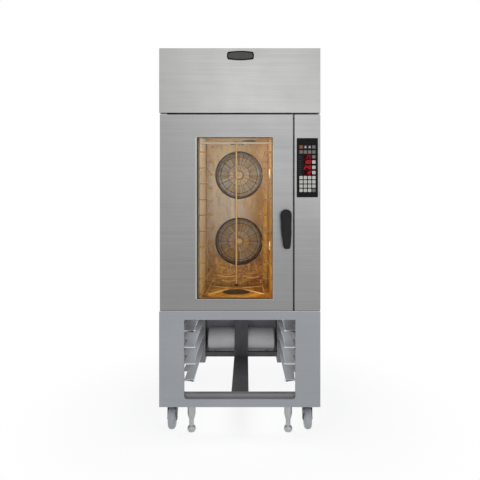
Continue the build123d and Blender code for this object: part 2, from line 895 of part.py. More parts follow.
# Racks: bent wire rails on upright bars
for name, side, wall in (("tray_rack_left", 1, cavity_left), ("tray_rack_right", -1, cavity_right)):
    rack_front = cavity_front + rack_front_depth
    rack_back = rack_front + rack_length
    post = wall + side * rack_wall_gap
    face = post + side * rack_post_sheet
    root = face + side * weld_gap
    rail = face + side * (rack_rail_reach - rack_wire_radius)
    with BuildPart() as tray_rack:
        for depth in (rack_front, rack_back):
            block(
                min(post, face), max(post, face),
                depth - rack_post_width / 2, depth + rack_post_width / 2,
                cavity_floor_z, rack_bottom_z + rack_levels * rack_pitch,
            )
        for level in range(rack_levels):
            z = rack_bottom_z + level * rack_pitch
            with BuildLine() as rail_path:
                FilletPolyline(
                    (root, at(rack_front), z), (rail, at(rack_front), z),
                    (rail, at(rack_back), z), (root, at(rack_back), z),
                    radius=rack_bend,
                )
            with BuildSketch(Plane(origin=(root, at(rack_front), z), z_dir=(side, 0, 0))):
                Circle(rack_wire_radius)
            sweep(path=rail_path.line)
    tray_rack.part.label = name
    export_step(tray_rack.part, f"parts/{name}.step")

# Upright spray pipe in front of the baffle
with BuildPart() as spray_pipe:
    pipe_x = cavity_x + pipe_shift_x
    pipe_depth = baffle_front - pipe_gap
    rod((pipe_x, pipe_depth, cavity_floor_z), (pipe_x, pipe_depth, cavity_ceiling_z), pipe_radius)
    rod(
        (pipe_x, pipe_depth, cavity_floor_z + pipe_wall), (pipe_x, pipe_depth, cavity_ceiling_z),
        pipe_radius - pipe_wall, mode=Mode.SUBTRACT,
    )
spray_pipe.part.label = "spray_pipe"
export_step(spray_pipe.part, "parts/spray_pipe.step")

# Lamps in the right wall
with BuildPart() as oven_lamps:
    depth = cavity_front + lamp_depth
    for z in lamp_z:
        wall = cavity_right + sheet
        rod((cavity_right - lamp_lens_proud, depth, z), (cavity_right, depth, z), lamp_lens_radius)
        rod((cavity_right, depth, z), (wall, depth, z), lamp_neck_radius)
        rod((wall, depth, z), (wall + lamp_body_length, depth, z), lamp_body_radius)
oven_lamps.part.label = "oven_lamps"
export_step(oven_lamps.part, "parts/oven_lamps.step")

# Insulation slabs around the chamber
with BuildPart() as insulation:
    near = sheet + insulation_gap
    far = near + insulation_thickness
    back = cavity_back + far
    low, high = cavity_floor_z - sheet, cavity_ceiling_z + sheet
    block(cavity_left - far, cavity_left - near, cavity_front + insulation_gap, cavity_back, low, high)
    block(cavity_right + near, cavity_right + far, cavity_front + insulation_gap, cavity_back, low, high)
    block(
        cavity_left, cavity_right, cavity_front + insulation_gap, cavity_back,
        cavity_ceiling_z + near, cavity_ceiling_z + far,
    )
    block(cavity_left, cavity_right, cavity_back + near, back, low, high)
    rod(
        (duct_x, duct_depth, cavity_ceiling_z + near), (duct_x, duct_depth, cavity_ceiling_z + far),
        duct_radius + clear, mode=Mode.SUBTRACT,
    )
    for z in lamp_z:
        rod(
            (cavity_right + near, cavity_front + lamp_depth, z),
            (cavity_right + far, cavity_front + lamp_depth, z),
            lamp_body_radius + clear, mode=Mode.SUBTRACT,
        )
    for z in fan_z:
        rod((fan_x, cavity_back, z), (fan_x, back, z), motor_flange_radius + insulation_hole_gap, mode=Mode.SUBTRACT)
insulation.part.label = "insulation"
export_step(insulation.part, "parts/insulation.step")

# Flat drain duct under the chamber, with its sump and rear spigot
drain_z = drain_bottom_z + drain_height / 2
with BuildPart() as drain_duct:
    half_drain = drain_width / 2
    block(
        cavity_x - half_drain, cavity_x + half_drain, drain_start_depth, drain_end_depth,
        drain_bottom_z, drain_bottom_z + drain_height,
    )
    rod(
        (cavity_x, sump_depth, drain_bottom_z + drain_height),
        (cavity_x, sump_depth, cavity_floor_z - sheet), sump_radius,
    )
    rod(
        (cavity_x, drain_end_depth, drain_z), (cavity_x, body_depth + rear_reach, drain_z),
        drain_spigot_radius - spigot_step,
    )
    rod(
        (cavity_x, body_depth + spigot_seat, drain_z),
        (cavity_x, body_depth + rear_reach, drain_z), drain_spigot_radius,
    )
    block(
        cavity_x - half_drain + drain_wall, cavity_x + half_drain - drain_wall,
        drain_start_depth + drain_wall, drain_end_depth - drain_wall,
        drain_bottom_z + drain_wall, drain_bottom_z + drain_height - drain_wall,
        mode=Mode.SUBTRACT,
    )
    rod(
        (cavity_x, sump_depth, drain_z), (cavity_x, sump_depth, cavity_floor_z),
        sump_radius - drain_wall, mode=Mode.SUBTRACT,
    )
    rod(
        (cavity_x, drain_end_depth - drain_wall, drain_z),
        (cavity_x, body_depth + rear_reach, drain_z),
        drain_height / 2 - drain_wall, mode=Mode.SUBTRACT,
    )
drain_duct.part.label = "drain_duct"
export_step(drain_duct.part, "parts/drain_duct.step")

# Water inlet valve and the gland for the supply cable
with BuildPart() as water_inlet:
    inside = body_depth - sheet
    half_block = inlet_block / 2
    block(
        inlet_x - half_block, inlet_x + half_block, inside - inlet_block, inside,
        inlet_z - half_block, inlet_z + half_block,
    )
    outside = body_depth + inlet_reach
    rod((inlet_x, inside, inlet_z), (inlet_x, outside, inlet_z), inlet_radius - spigot_step)
    rod((inlet_x, body_depth + spigot_seat, inlet_z), (inlet_x, outside, inlet_z), inlet_radius)
    rod(
        (inlet_x, inside, inlet_z), (inlet_x, outside, inlet_z),
        inlet_radius - inlet_wall, mode=Mode.SUBTRACT,
    )
water_inlet.part.label = "water_inlet"
export_step(water_inlet.part, "parts/water_inlet.step")

with BuildPart() as power_gland:
    with BuildSketch(facing(body_depth - sheet)):
        with Locations((gland_x, gland_z)):
            RegularPolygon(gland_nut_radius, 6)
    extrude(amount=gland_nut_height)
    rod((gland_x, inside, gland_z), (gland_x, body_depth + gland_reach, gland_z), gland_radius)
    fillet(power_gland.edges().filter_by(GeomType.CIRCLE).sort_by(Axis.Y)[-1], gland_round)
    rod(
        (gland_x, inside - gland_nut_height, gland_z),
        (gland_x, body_depth + gland_reach, gland_z),
        gland_bore_radius, mode=Mode.SUBTRACT,
    )
power_gland.part.label = "power_gland"
export_step(power_gland.part, "parts/power_gland.step")

# Hood and its duct

with BuildPart() as hood_shell:
    block(-half_width, half_width, 0, body_depth, oven_roof_z, hood_top_z)
    block(
        -half_width + sheet, half_width - sheet, sheet, body_depth - sheet,
        oven_roof_z + sheet, hood_top_z - sheet, mode=Mode.SUBTRACT,
    )
    block(
        -half_width + hood_rim, half_width - hood_rim, hood_front_rim,
        body_depth - hood_rim, oven_roof_z, oven_roof_z + sheet, mode=Mode.SUBTRACT,
    )
    rod(
        (duct_x, duct_depth, hood_top_z - sheet), (duct_x, duct_depth, hood_top_z),
        duct_radius + clear, mode=Mode.SUBTRACT,
    )
hood_shell.part.label = "hood_shell"
export_step(hood_shell.part, "parts/hood_shell.step")

with BuildPart() as exhaust_duct:
    duct_foot = cavity_ceiling_z + sheet
    duct_top = hood_top_z + spigot_height
    rod((duct_x, duct_depth, duct_foot), (duct_x, duct_depth, duct_top), duct_radius - spigot_step)
    rod((duct_x, duct_depth, hood_top_z + spigot_seat), (duct_x, duct_depth, duct_top), duct_radius)
    rod(
        (duct_x, duct_depth, duct_foot), (duct_x, duct_depth, duct_top),
        duct_bore, mode=Mode.SUBTRACT,
    )
exhaust_duct.part.label = "exhaust_duct"
export_step(exhaust_duct.part, "parts/exhaust_duct.step")


# Bare badge plate with bowed edges and a raised rim
with BuildPart() as badge:
    with BuildSketch(facing(0)):
        with BuildLine():
            barrel(badge_width / 2, badge_height / 2, badge_bow, badge_side_bow)
        make_face()
    extrude(amount=badge_thickness)
    with BuildSketch(facing(-badge_thickness)):
        with BuildLine():
            barrel(
                badge_width / 2 - badge_rim, badge_height / 2 - badge_rim,
                badge_bow, badge_side_bow,
            )
        make_face()
    extrude(amount=-badge_recess, mode=Mode.SUBTRACT)
badge.part.label = "badge"
export_step(badge.part, "parts/badge.step")

# Control panel

panel_left = control_left + panel_inset_x
panel_right = panel_left + panel_width
panel_top_z = panel_bottom_z + panel_height
panel_x = (panel_left + panel_right) / 2
panel_mid_z = (panel_bottom_z + panel_top_z) / 2
display_x = panel_left + display_shift_x

# Membrane overlay on the face of the column
with BuildPart() as control_panel:
    with BuildSketch(facing(0)):
        with Locations((panel_x, panel_mid_z)):
            RectangleRounded(panel_width, panel_height, panel_corner)
    extrude(amount=panel_thickness)
control_panel.part.label = "control_panel"
export_step(control_panel.part, "parts/control_panel.step")

# Embossed key fields: the key block, the four set keys and the two rows of symbol fields
key_x = [panel_left + key_left_x + key_pitch * column for column in range(key_columns)]
key_z = [panel_bottom_z + key_bottom_z + key_pitch * row for row in range(key_rows)]
set_key_z = [panel_bottom_z + set_key_bottom_z + set_key_pitch * row for row in range(set_keys)]
symbol_z = [panel_bottom_z + symbol_bottom_z + symbol_pitch * row for row in range(symbol_rows)]
with BuildPart() as control_keys:
    with BuildSketch(facing(-panel_thickness)):
        for x in key_x:
            for z in key_z + symbol_z:
                with Locations((x, z)):
                    RectangleRounded(key_width, key_height, key_corner)
        for z in set_key_z:
            with Locations((key_x[-1], z)):
                RectangleRounded(key_width, key_height, key_corner)
    extrude(amount=key_raise)
control_keys.part.label = "control_keys"
export_step(control_keys.part, "parts/control_keys.step")

with BuildPart() as displays:
    with BuildSketch(facing(-panel_thickness)):
        for z in set_key_z:
            with Locations((display_x, z)):
                RectangleRounded(display_width, display_height, key_corner)
    extrude(amount=key_raise)
displays.part.label = "displays"
export_step(displays.part, "parts/displays.step")

# Circuit board on four pillars behind the panel
board_left, board_right = panel_left + board_margin, panel_right - board_margin
board_bottom, board_top = panel_bottom_z + board_margin, panel_top_z - board_margin
with BuildPart() as control_board:
    block(
        board_left, board_right, sheet + board_gap, sheet + board_gap + board_thickness,
        board_bottom, board_top,
    )
    for x in (board_left + board_margin, board_right - board_margin):
        for z in (board_bottom + board_margin, board_top - board_margin):
            rod((x, sheet, z), (x, sheet + board_gap, z), board_pillar_radius)
    for z in set_key_z:
        block(
            display_x - display_width / 2, display_x + display_width / 2,
            sheet + board_gap - display_module, sheet + board_gap,
            z - display_height / 2, z + display_height / 2,
        )
control_board.part.label = "control_board"
export_step(control_board.part, "parts/control_board.step")

# Door

# Front tray of the door, with the window cut out and bores for the pins and the spindle
with BuildPart() as door_outer_skin:
    block(door_left, door_right, 0, skin_return, door_bottom, door_top)
    block(
        door_left + sheet, door_right - sheet, sheet, skin_return,
        door_bottom + sheet, door_top - sheet, mode=Mode.SUBTRACT,
    )
    block(window_left, window_right, 0, sheet, window_bottom, window_top, mode=Mode.SUBTRACT)
    rod(
        (hinge_x, hinge_depth, door_bottom), (hinge_x, hinge_depth, door_top),
        hinge_pin_radius + running, mode=Mode.SUBTRACT,
    )
    rod(
        (handle_axis_x, 0, handle_axis_z), (handle_axis_x, sheet, handle_axis_z),
        spindle_radius + running, mode=Mode.SUBTRACT,
    )
door_outer_skin.part.label = "door_outer_skin"
export_step(door_outer_skin.part, "parts/door_outer_skin.step")

# Back tray of the door, with the hinge blocks in its corners
with BuildPart() as door_inner_frame:
    low_x, high_x = door_left + sheet, door_right - sheet
    low_z, high_z = door_bottom + sheet, door_top - sheet
    back = door_thickness - sheet
    block(low_x, high_x, inner_return, door_thickness, low_z, high_z)
    block(
        low_x + sheet, high_x - sheet, inner_return, back,
        low_z + sheet, high_z - sheet, mode=Mode.SUBTRACT,
    )
    block(window_left, window_right, back, door_thickness, window_bottom, window_top, mode=Mode.SUBTRACT)
    for z0, z1 in ((low_z, low_z + hinge_block), (high_z - hinge_block, high_z)):
        block(low_x, hinge_x + hinge_block / 2, sheet * 2, back, z0, z1)
    rod(
        (hinge_x, hinge_depth, low_z), (hinge_x, hinge_depth, high_z),
        hinge_pin_radius + running, mode=Mode.SUBTRACT,
    )
    rod(
        (handle_axis_x, back, handle_axis_z), (handle_axis_x, door_thickness, handle_axis_z),
        spindle_radius + running, mode=Mode.SUBTRACT,
    )
door_inner_frame.part.label = "door_inner_frame"
export_step(door_inner_frame.part, "parts/door_inner_frame.step")

glass_left, glass_right = window_left - glass_overlap, window_right + glass_overlap
glass_bottom, glass_top = window_bottom - glass_overlap, window_top + glass_overlap
inner_glass_depth = door_thickness - sheet - glass_thickness
with BuildPart() as door_glass_outer:
    block(glass_left, glass_right, sheet, sheet + glass_thickness, glass_bottom, glass_top)
door_glass_outer.part.label = "door_glass_outer"
export_step(door_glass_outer.part, "parts/door_glass_outer.step")

with BuildPart() as door_glass_inner:
    block(
        glass_left, glass_right, inner_glass_depth, inner_glass_depth + glass_thickness,
        glass_bottom, glass_top,
    )
door_glass_inner.part.label = "door_glass_inner"
export_step(door_glass_inner.part, "parts/door_glass_inner.step")

# Steel frame between the two panes, at the edge of the window
with BuildPart() as window_frame:
    block(
        window_left - spacer_width, window_right + spacer_width,
        sheet + glass_thickness, inner_glass_depth,
        window_bottom - spacer_width, window_top + spacer_width,
    )
    block(
        window_left, window_right, sheet + glass_thickness, inner_glass_depth,
        window_bottom, window_top, mode=Mode.SUBTRACT,
    )
window_frame.part.label = "window_frame"
export_step(window_frame.part, "parts/window_frame.step")

# Hinge brackets above and below the door, each with its shoulder and pin
with BuildPart() as hinge_brackets:
    upper_z = door_top + (door_top_gap - hinge_plate) / 2
    for plate_low, face, way in (
        (oven_floor_z, door_bottom - clear, 1),
        (upper_z, door_top + clear, -1),
    ):
        seat = plate_low + hinge_plate if way == 1 else plate_low
        block(
            door_left, door_left + hinge_plate_width, hinge_depth - hinge_plate_nose,
            frame_depth, plate_low, plate_low + hinge_plate,
        )
        rod((hinge_x, hinge_depth, seat), (hinge_x, hinge_depth, face), hinge_shoulder_radius)
        rod(
            (hinge_x, hinge_depth, seat), (hinge_x, hinge_depth, face + way * hinge_pin_length),
            hinge_pin_radius,
        )
hinge_brackets.part.label = "hinge_brackets"
export_step(hinge_brackets.part, "parts/hinge_brackets.step")

# Lever handle with its round boss
with BuildPart() as handle:
    with BuildSketch(facing(handle_thickness - handle_reach)):
        with Locations((handle_axis_x, handle_axis_z)):
            Circle(handle_head_radius)
        with Locations((handle_axis_x + handle_tail_shift, handle_axis_z - handle_length)):
            Circle(handle_tail_radius)
        make_hull()
    extrude(amount=handle_thickness)
    fillet(handle.faces().sort_by(Axis.Y)[0].edges(), handle_edge)
    rod(
        (handle_axis_x, handle_thickness - handle_reach, handle_axis_z),
        (handle_axis_x, -clear, handle_axis_z), boss_radius,
    )
handle.part.label = "handle"
export_step(handle.part, "parts/handle.step")

# Spindle through the door, with the cam that turns behind it
cam_front = frame_depth - cam_gap - cam_thickness
with BuildPart() as latch_spindle:
    rod(
        (handle_axis_x, -clear, handle_axis_z),
        (handle_axis_x, cam_front + cam_thickness, handle_axis_z), spindle_radius,
    )
    block(
        handle_axis_x, handle_axis_x + cam_length, cam_front, cam_front + cam_thickness,
        handle_axis_z - cam_height / 2, handle_axis_z + cam_height / 2,
    )
latch_spindle.part.label = "latch_spindle"
export_step(latch_spindle.part, "parts/latch_spindle.step")

# Stop block that the cam turns up against
with BuildPart() as door_catch:
    catch_z = handle_axis_z + cam_height / 2 + clear
    block(
        handle_axis_x + cam_length - catch_width, handle_axis_x + cam_length,
        door_thickness + clear, frame_depth, catch_z, catch_z + catch_height,
    )
door_catch.part.label = "door_catch"
export_step(door_catch.part, "parts/door_catch.step")
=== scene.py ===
import json
from math import cos, pi, radians, sin, tau

import bmesh
import bpy
from mathutils import Matrix, Vector


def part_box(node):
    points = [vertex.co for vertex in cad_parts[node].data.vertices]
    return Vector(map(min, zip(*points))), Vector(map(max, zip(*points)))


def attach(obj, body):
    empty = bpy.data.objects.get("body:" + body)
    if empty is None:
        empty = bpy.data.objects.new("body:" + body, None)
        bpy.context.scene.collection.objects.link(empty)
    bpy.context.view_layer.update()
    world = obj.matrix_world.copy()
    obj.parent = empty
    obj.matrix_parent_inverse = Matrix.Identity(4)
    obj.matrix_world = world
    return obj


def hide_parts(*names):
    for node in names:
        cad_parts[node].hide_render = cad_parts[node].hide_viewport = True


# The looks of a floor-standing combi oven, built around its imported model.
# X runs to the right as seen from the front, Y runs back, Z runs up from the floor.
# Named lengths are in millimetres, apart from FRONT_Y and those of the camera, the floor and the lights.
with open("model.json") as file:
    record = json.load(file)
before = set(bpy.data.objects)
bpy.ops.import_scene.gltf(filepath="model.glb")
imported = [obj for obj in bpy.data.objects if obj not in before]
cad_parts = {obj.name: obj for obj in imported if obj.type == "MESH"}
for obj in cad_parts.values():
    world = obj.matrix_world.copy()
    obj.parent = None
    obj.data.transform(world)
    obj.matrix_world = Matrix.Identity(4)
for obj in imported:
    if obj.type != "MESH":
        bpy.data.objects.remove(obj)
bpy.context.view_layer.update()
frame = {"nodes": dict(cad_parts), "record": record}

MM = 0.001
FRONT_Y = -0.454
X, Y, Z = Vector((1, 0, 0)), Vector((0, 1, 0)), Vector((0, 0, 1))
SLOT_OF = {row["node"]: row["material_slot"] for row in frame["record"]["subparts"]}
BODY_OF = {
    node: body
    for body, members in frame["record"]["behaviour"]["bodies"].items()
    for node in members
}


def spot(x, depth, z):
    """A point in millimetres: x right of the middle, depth behind the front face, z above the floor."""
    return Vector((x * MM, FRONT_Y + depth * MM, z * MM))


def depth_of(y):
    """How many millimetres a place lies behind the front face."""
    return (y - FRONT_Y) / MM


# Mesh kit


def smooth_by_angle(mesh, degrees=35):
    """Shades a mesh smooth, but for the edges that turn more sharply than an angle."""
    mesh.polygons.foreach_set("use_smooth", [True] * len(mesh.polygons))
    mesh.set_sharp_from_angle(angle=radians(degrees))


def add_bevel(piece, width):
    """Rounds a piece's sharp edges by a width in millimetres."""
    bevel = piece.modifiers.new("rounded edges", "BEVEL")
    bevel.width = width * MM
    bevel.segments = 2
    bevel.limit_method = "ANGLE"
    bevel.angle_limit = radians(32)
    bevel.harden_normals = True


def add_object(name, data):
    """Adds an object to the scene."""
    added = bpy.data.objects.new(name, data)
    bpy.context.scene.collection.objects.link(added)
    return added


def mesh_from(name, shape, material):
    """Turns a finished bmesh into a mesh with a material."""
    mesh = bpy.data.meshes.new(name)
    shape.to_mesh(mesh)
    shape.free()
    mesh.materials.append(material)
    return mesh


def piece_from(name, shape, finish, body="root", replaced=(), bevel=0):
    """Turns a bmesh into a piece that rides on a body. Its slot is its finish."""
    bmesh.ops.recalc_face_normals(shape, faces=shape.faces)
    mesh = mesh_from(name, shape, MATERIALS[finish])
    smooth_by_angle(mesh)
    piece = add_object(name, mesh)
    if bevel:
        add_bevel(piece, bevel)
    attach(piece, body)
    if replaced:
        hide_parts(*replaced)
    return piece


def add_block(shape, x0, x1, depth0, depth1, z0, z1):
    """A block between its ends across, in depth and in height, in millimetres."""
    grid = [
        shape.verts.new(spot(x, depth, z))
        for x in (x0, x1) for depth in (depth0, depth1) for z in (z0, z1)
    ]
    for corners in ((0, 1, 3, 2), (4, 6, 7, 5), (0, 4, 5, 1), (2, 3, 7, 6), (0, 2, 6, 4), (1, 5, 7, 3)):
        shape.faces.new([grid[i] for i in corners])


def add_rings(shape, rings, closed=False):
    """Skins a row of rings that have as many points each, and caps its ends unless the row is closed."""
    rings = [[shape.verts.new(point) for point in ring] for ring in rings]
    pairs = list(zip(rings, rings[1:]))
    if closed:
        pairs.append((rings[-1], rings[0]))
    for low, high in pairs:
        for i in range(len(low)):
            j = (i + 1) % len(low)
            shape.faces.new((low[i], low[j], high[j], high[i]))
    if not closed:
        shape.faces.new(rings[0][::-1])
        shape.faces.new(rings[-1])


def add_slab(shape, outline, thick):
    """A flat outline, given as points, carried towards the front into a closed slab."""
    add_rings(shape, [outline, [point - Y * thick * MM for point in outline]])


def add_tube(shape, points, wire, sides=10, closed=False):
    """A round wire of a radius in millimetres along a path of points."""
    count = len(points)
    rings = []
    normal = None
    for i, point in enumerate(points):
        before = points[i - 1] if i or closed else point
        after = points[(i + 1) % count] if i < count - 1 or closed else point
        along = (after - before).normalized()
        if normal is None:
            normal = along.orthogonal()
        normal = (normal - along * normal.dot(along)).normalized()
        rings.append(circle(point, wire * MM, normal, along.cross(normal), sides))
    add_rings(shape, rings, closed)


# The smallest ring of a turned solid, where its profile reaches the axis
LEAST_RADIUS = 0.02


def add_turned(shape, profile, centre, axis, sides=32):
    """A turned solid. Its profile lists radius and place along the axis, in millimetres."""
    across = axis.orthogonal().normalized()
    side = axis.cross(across)
    add_rings(shape, [
        circle(centre + axis * (along * MM), max(radius, LEAST_RADIUS) * MM, across, side, sides)
        for radius, along in profile
    ])


def circle(centre, radius, axis_a, axis_b, count):
    """Points round a circle, in metres."""
    turns = [tau * k / count for k in range(count)]
    return [centre + (axis_a * cos(turn) + axis_b * sin(turn)) * radius for turn in turns]


# Material kit


class Recipe:
    """The node tree of a material or of the world, in which each node is made by one call."""

    def __init__(self, name, owners=bpy.data.materials):
        self.owner = owners.new(name)
        self.owner.use_nodes = True
        self.tree = self.owner.node_tree
        self.shader = self.tree.nodes.get("Principled BSDF")
        self.output = self.tree.nodes.get("Material Output")
        self.coords = self.tree.nodes.new("ShaderNodeTexCoord").outputs["Object"]

    def plug(self, value, socket):
        """Links a socket, or sets a plain value. Colours are given as red, green and blue."""
        if isinstance(value, bpy.types.NodeSocket):
            self.tree.links.new(value, socket)
        elif socket.type == "RGBA":
            socket.default_value = (*value, 1.0)
        else:
            socket.default_value = value

    def node(self, kind, inputs=(), **settings):
        """A node with its settings, and with its inputs by name or number."""
        made = self.tree.nodes.new(kind)
        for key, value in settings.items():
            setattr(made, key, value)
        for key, value in dict(inputs).items():
            self.plug(value, made.inputs[key])
        return made

    def noise(self, scale, detail=4, rough=0.55, stretch=None, warp=0):
        """A noise between 0 and 1, of a scale per metre, which can differ on each axis."""
        where = self.coords
        if stretch:
            where = self.node("ShaderNodeMapping", {"Vector": where, "Scale": stretch}).outputs[0]
        inputs = {"Vector": where, "Scale": scale, "Detail": detail, "Roughness": rough, "Distortion": warp}
        return self.node("ShaderNodeTexNoise", inputs).outputs["Fac"]

    def span(self, value, low, high, new_low=0.0, new_high=1.0):
        """A value mapped from one range to another, and clamped there."""
        inputs = {"Value": value, "From Min": low, "From Max": high, "To Min": new_low, "To Max": new_high}
        return self.node("ShaderNodeMapRange", inputs).outputs[0]

    def place(self, axis):
        """A point's place along an axis, in metres."""
        return self.node("ShaderNodeSeparateXYZ", {0: self.coords}).outputs[axis]

    def height(self, low, high, new_low=0.0, new_high=1.0):
        """How far up a point lies between two heights in millimetres, mapped to a range."""
        return self.span(self.place("Z"), low * MM, high * MM, new_low, new_high)

    def mix(self, factor, a, b, mode="MIX"):
        """Two colours mixed."""
        made = self.node("ShaderNodeMix", data_type="RGBA", blend_type=mode)
        for value, index in ((factor, 0), (a, 6), (b, 7)):
            self.plug(value, made.inputs[index])
        return made.outputs[2]

    def shade(self, tone, share, light, dark):
        """A tone times a grey that falls from light to dark as a share rises."""
        return self.mix(1.0, tone, self.mix(share, grey(light), grey(dark)), "MULTIPLY")

    def plus(self, a, b):
        return self.node("ShaderNodeMath", {0: a, 1: b}, operation="ADD").outputs[0]

    def times(self, a, b):
        return self.node("ShaderNodeMath", {0: a, 1: b}, operation="MULTIPLY").outputs[0]

    def ramp(self, factor, stops):
        """A colour ramp with a list of places and colours."""
        made = self.node("ShaderNodeValToRGB", {"Fac": factor})
        marks = made.color_ramp.elements
        while len(marks) < len(stops):
            marks.new(0.5)
        for mark, (place, colour) in zip(marks, stops):
            mark.position = place
            mark.color = (*colour, 1.0)
        return made.outputs["Color"]

    def bump(self, height, strength, depth):
        """A bump of a depth in millimetres, sent to the shader."""
        inputs = {"Height": height, "Strength": strength, "Distance": depth * MM}
        self.plug(self.node("ShaderNodeBump", inputs).outputs[0], self.shader.inputs["Normal"])

    def set(self, **inputs):
        """Sets the shader's own sockets."""
        for key, value in inputs.items():
            self.plug(value, self.shader.inputs[key.replace("_", " ")])
        return self.owner

    def seen(self):
        """1 for rays that show the background: straight from the camera, mirrored or through glass."""
        path = self.node("ShaderNodeLightPath").outputs
        total = path["Is Camera Ray"]
        for name in ("Is Glossy Ray", "Is Transmission Ray"):
            total = self.node("ShaderNodeMath", {0: total, 1: path[name]}, operation="MAXIMUM").outputs[0]
        return total

    def blend(self, share, first, second):
        """Sends a mix of two shaders to the material's surface."""
        both = self.node("ShaderNodeMixShader", {0: share, 1: first.outputs[0], 2: second.outputs[0]})
        self.plug(both.outputs[0], self.output.inputs["Surface"])


def grey(level):
    return (level, level, level)


def scaled(colour, factor):
    return tuple(part * factor for part in colour)


# Materials

# The first pair: heights over which the painted shade at the foot of the casing's sheet gives way to its
# own colour
CASING_HEIGHTS = (700, 1700)
CHAMBER_HEIGHTS = (715, 1735)
PANE_HEIGHTS = (755, 1664)


def brushed(name, colour, grain, rough, cloud=0.1, metal=1.0, streaks=1.0, foot=None):
    """Brushed stainless sheet, with lines along the grain and, if given, a darker colour towards its foot,
    which is painted shade.
    """
    recipe = Recipe(name)
    fine = tuple(2.2 if axis == grain else 420 for axis in "XYZ")
    coarse = tuple(1.2 if axis == grain else 60 for axis in "XYZ")
    lines = recipe.noise(1, 3, 0.6, fine)
    bands = recipe.noise(1, 3, 0.6, coarse)
    clouds = recipe.noise(2.1, 3, 0.5, warp=0.6)
    # Painted shade: where a foot colour is given, the sheet darkens towards the floor
    tone = recipe.mix(recipe.height(*CASING_HEIGHTS), foot, colour) if foot else colour
    tone = recipe.shade(tone, recipe.span(clouds, 0.3, 0.7), 1, 1 - cloud)
    tone = recipe.shade(tone, recipe.span(bands, 0.35, 0.65), 1 + 0.03 * streaks, 1 - 0.05 * streaks)
    tone = recipe.shade(tone, recipe.span(lines, 0.3, 0.7), 1 + 0.04 * streaks, 1 - 0.07 * streaks)
    recipe.bump(recipe.plus(lines, recipe.times(bands, 0.4)), 0.25, 0.12)
    roughness = recipe.span(recipe.plus(lines, clouds), 0.6, 1.4, rough - 0.05, rough + 0.08)
    return recipe.set(Base_Color=tone, Metallic=metal, Roughness=roughness)


def chamber(name, tones, left_wall_painted_light, right_wall_lamp_light_and_tint, rough):
    """The chamber's sheet, tinted by heat and painted with the lamps' warm light: lighter towards its head
    and warmer towards the right, golden on its right wall as painted lamp light with heat tint, pale on its
    left wall as painted light, and flecked at its foot with painted highlights and painted shade.
    """
    # The glint is a painted highlight and the dark fleck colour a painted shade, both in flecks near the
    # foot; the stain is the sheet's own
    straw, vein, glint = (0.76, 0.50, 0.17), (1.0, 0.80, 0.46), (0.92, 0.56, 0.13)
    painted_fleck_shade, stain = (0.13, 0.06, 0.02), (0.20, 0.11, 0.04)
    recipe = Recipe(name)
    clouds = recipe.noise(7, 5, 0.6, warp=1.2)
    stains = recipe.noise(26, 6, 0.7, (1.6, 1, 0.5))
    veins = recipe.noise(18, 5, 0.7, (3.0, 1, 0.35), warp=1.5)
    flecks = recipe.noise(17, 5, 0.75, (0.8, 1, 2.4), warp=2.5)
    height = recipe.plus(recipe.height(*CHAMBER_HEIGHTS), recipe.span(clouds, 0.3, 0.7, -0.08, 0.08))
    across = recipe.place("X")
    wavy = recipe.plus(across, recipe.span(clouds, 0.3, 0.7, -0.04, 0.04))
    low_down = recipe.span(height, 0.24, 0.06)
    tone = recipe.ramp(height, tones)
    # Painted warm lamp light, stronger towards the lamps on the right
    lamp_side_warmth = recipe.times(recipe.span(wavy, -0.03, 0.11), recipe.span(height, 0.97, 0.86, 0.5, 1))
    tone = recipe.mix(lamp_side_warmth, tone, straw, "MULTIPLY")
    # The right wall's golden colour is painted lamp light with heat tint; the left wall's pale colour is
    # painted light
    tone = recipe.mix(recipe.span(across, 0.150, 0.166, 0, 0.92), tone, right_wall_lamp_light_and_tint)
    tone = recipe.mix(recipe.span(across, -0.234, -0.242, 0, 0.9), tone, left_wall_painted_light)
    tone = recipe.mix(recipe.span(veins, 0.54, 0.64, 0, 0.30), tone, vein)
    # Painted highlights and painted shade in flecks near the foot, for the lamps' light on the pan
    tone = recipe.mix(recipe.times(recipe.span(flecks, 0.50, 0.60, 0, 0.7), low_down), tone, glint)
    tone = recipe.mix(recipe.times(recipe.span(flecks, 0.46, 0.38, 0, 0.6), low_down), tone, painted_fleck_shade)
    tone = recipe.mix(recipe.span(stains, 0.5, 0.75, 0, 0.45), tone, stain)
    recipe.bump(recipe.plus(stains, clouds), 0.3, 0.6)
    roughness = recipe.span(stains, 0.3, 0.7, rough - 0.08, rough + 0.12)
    return recipe.set(Base_Color=tone, Metallic=0.55, Roughness=roughness)


def heat_tinted(name, cool, warm, rough):
    """Thin steel that heat has tinted in patches, with fine lines round its rim."""
    recipe = Recipe(name)
    patches = recipe.noise(9, 4, 0.6, warp=1.5)
    lines = recipe.noise(1, 4, 0.7, (240, 240, 14))
    tone = recipe.mix(recipe.span(patches, 0.40, 0.60), cool, warm)
    tone = recipe.mix(recipe.span(lines, 0.45, 0.65, 0, 0.45), tone, scaled(warm, 0.35))
    recipe.bump(lines, 0.2, 0.2)
    roughness = recipe.span(patches, 0.3, 0.7, rough, rough + 0.1)
    return recipe.set(Base_Color=tone, Metallic=0.5, Roughness=roughness)


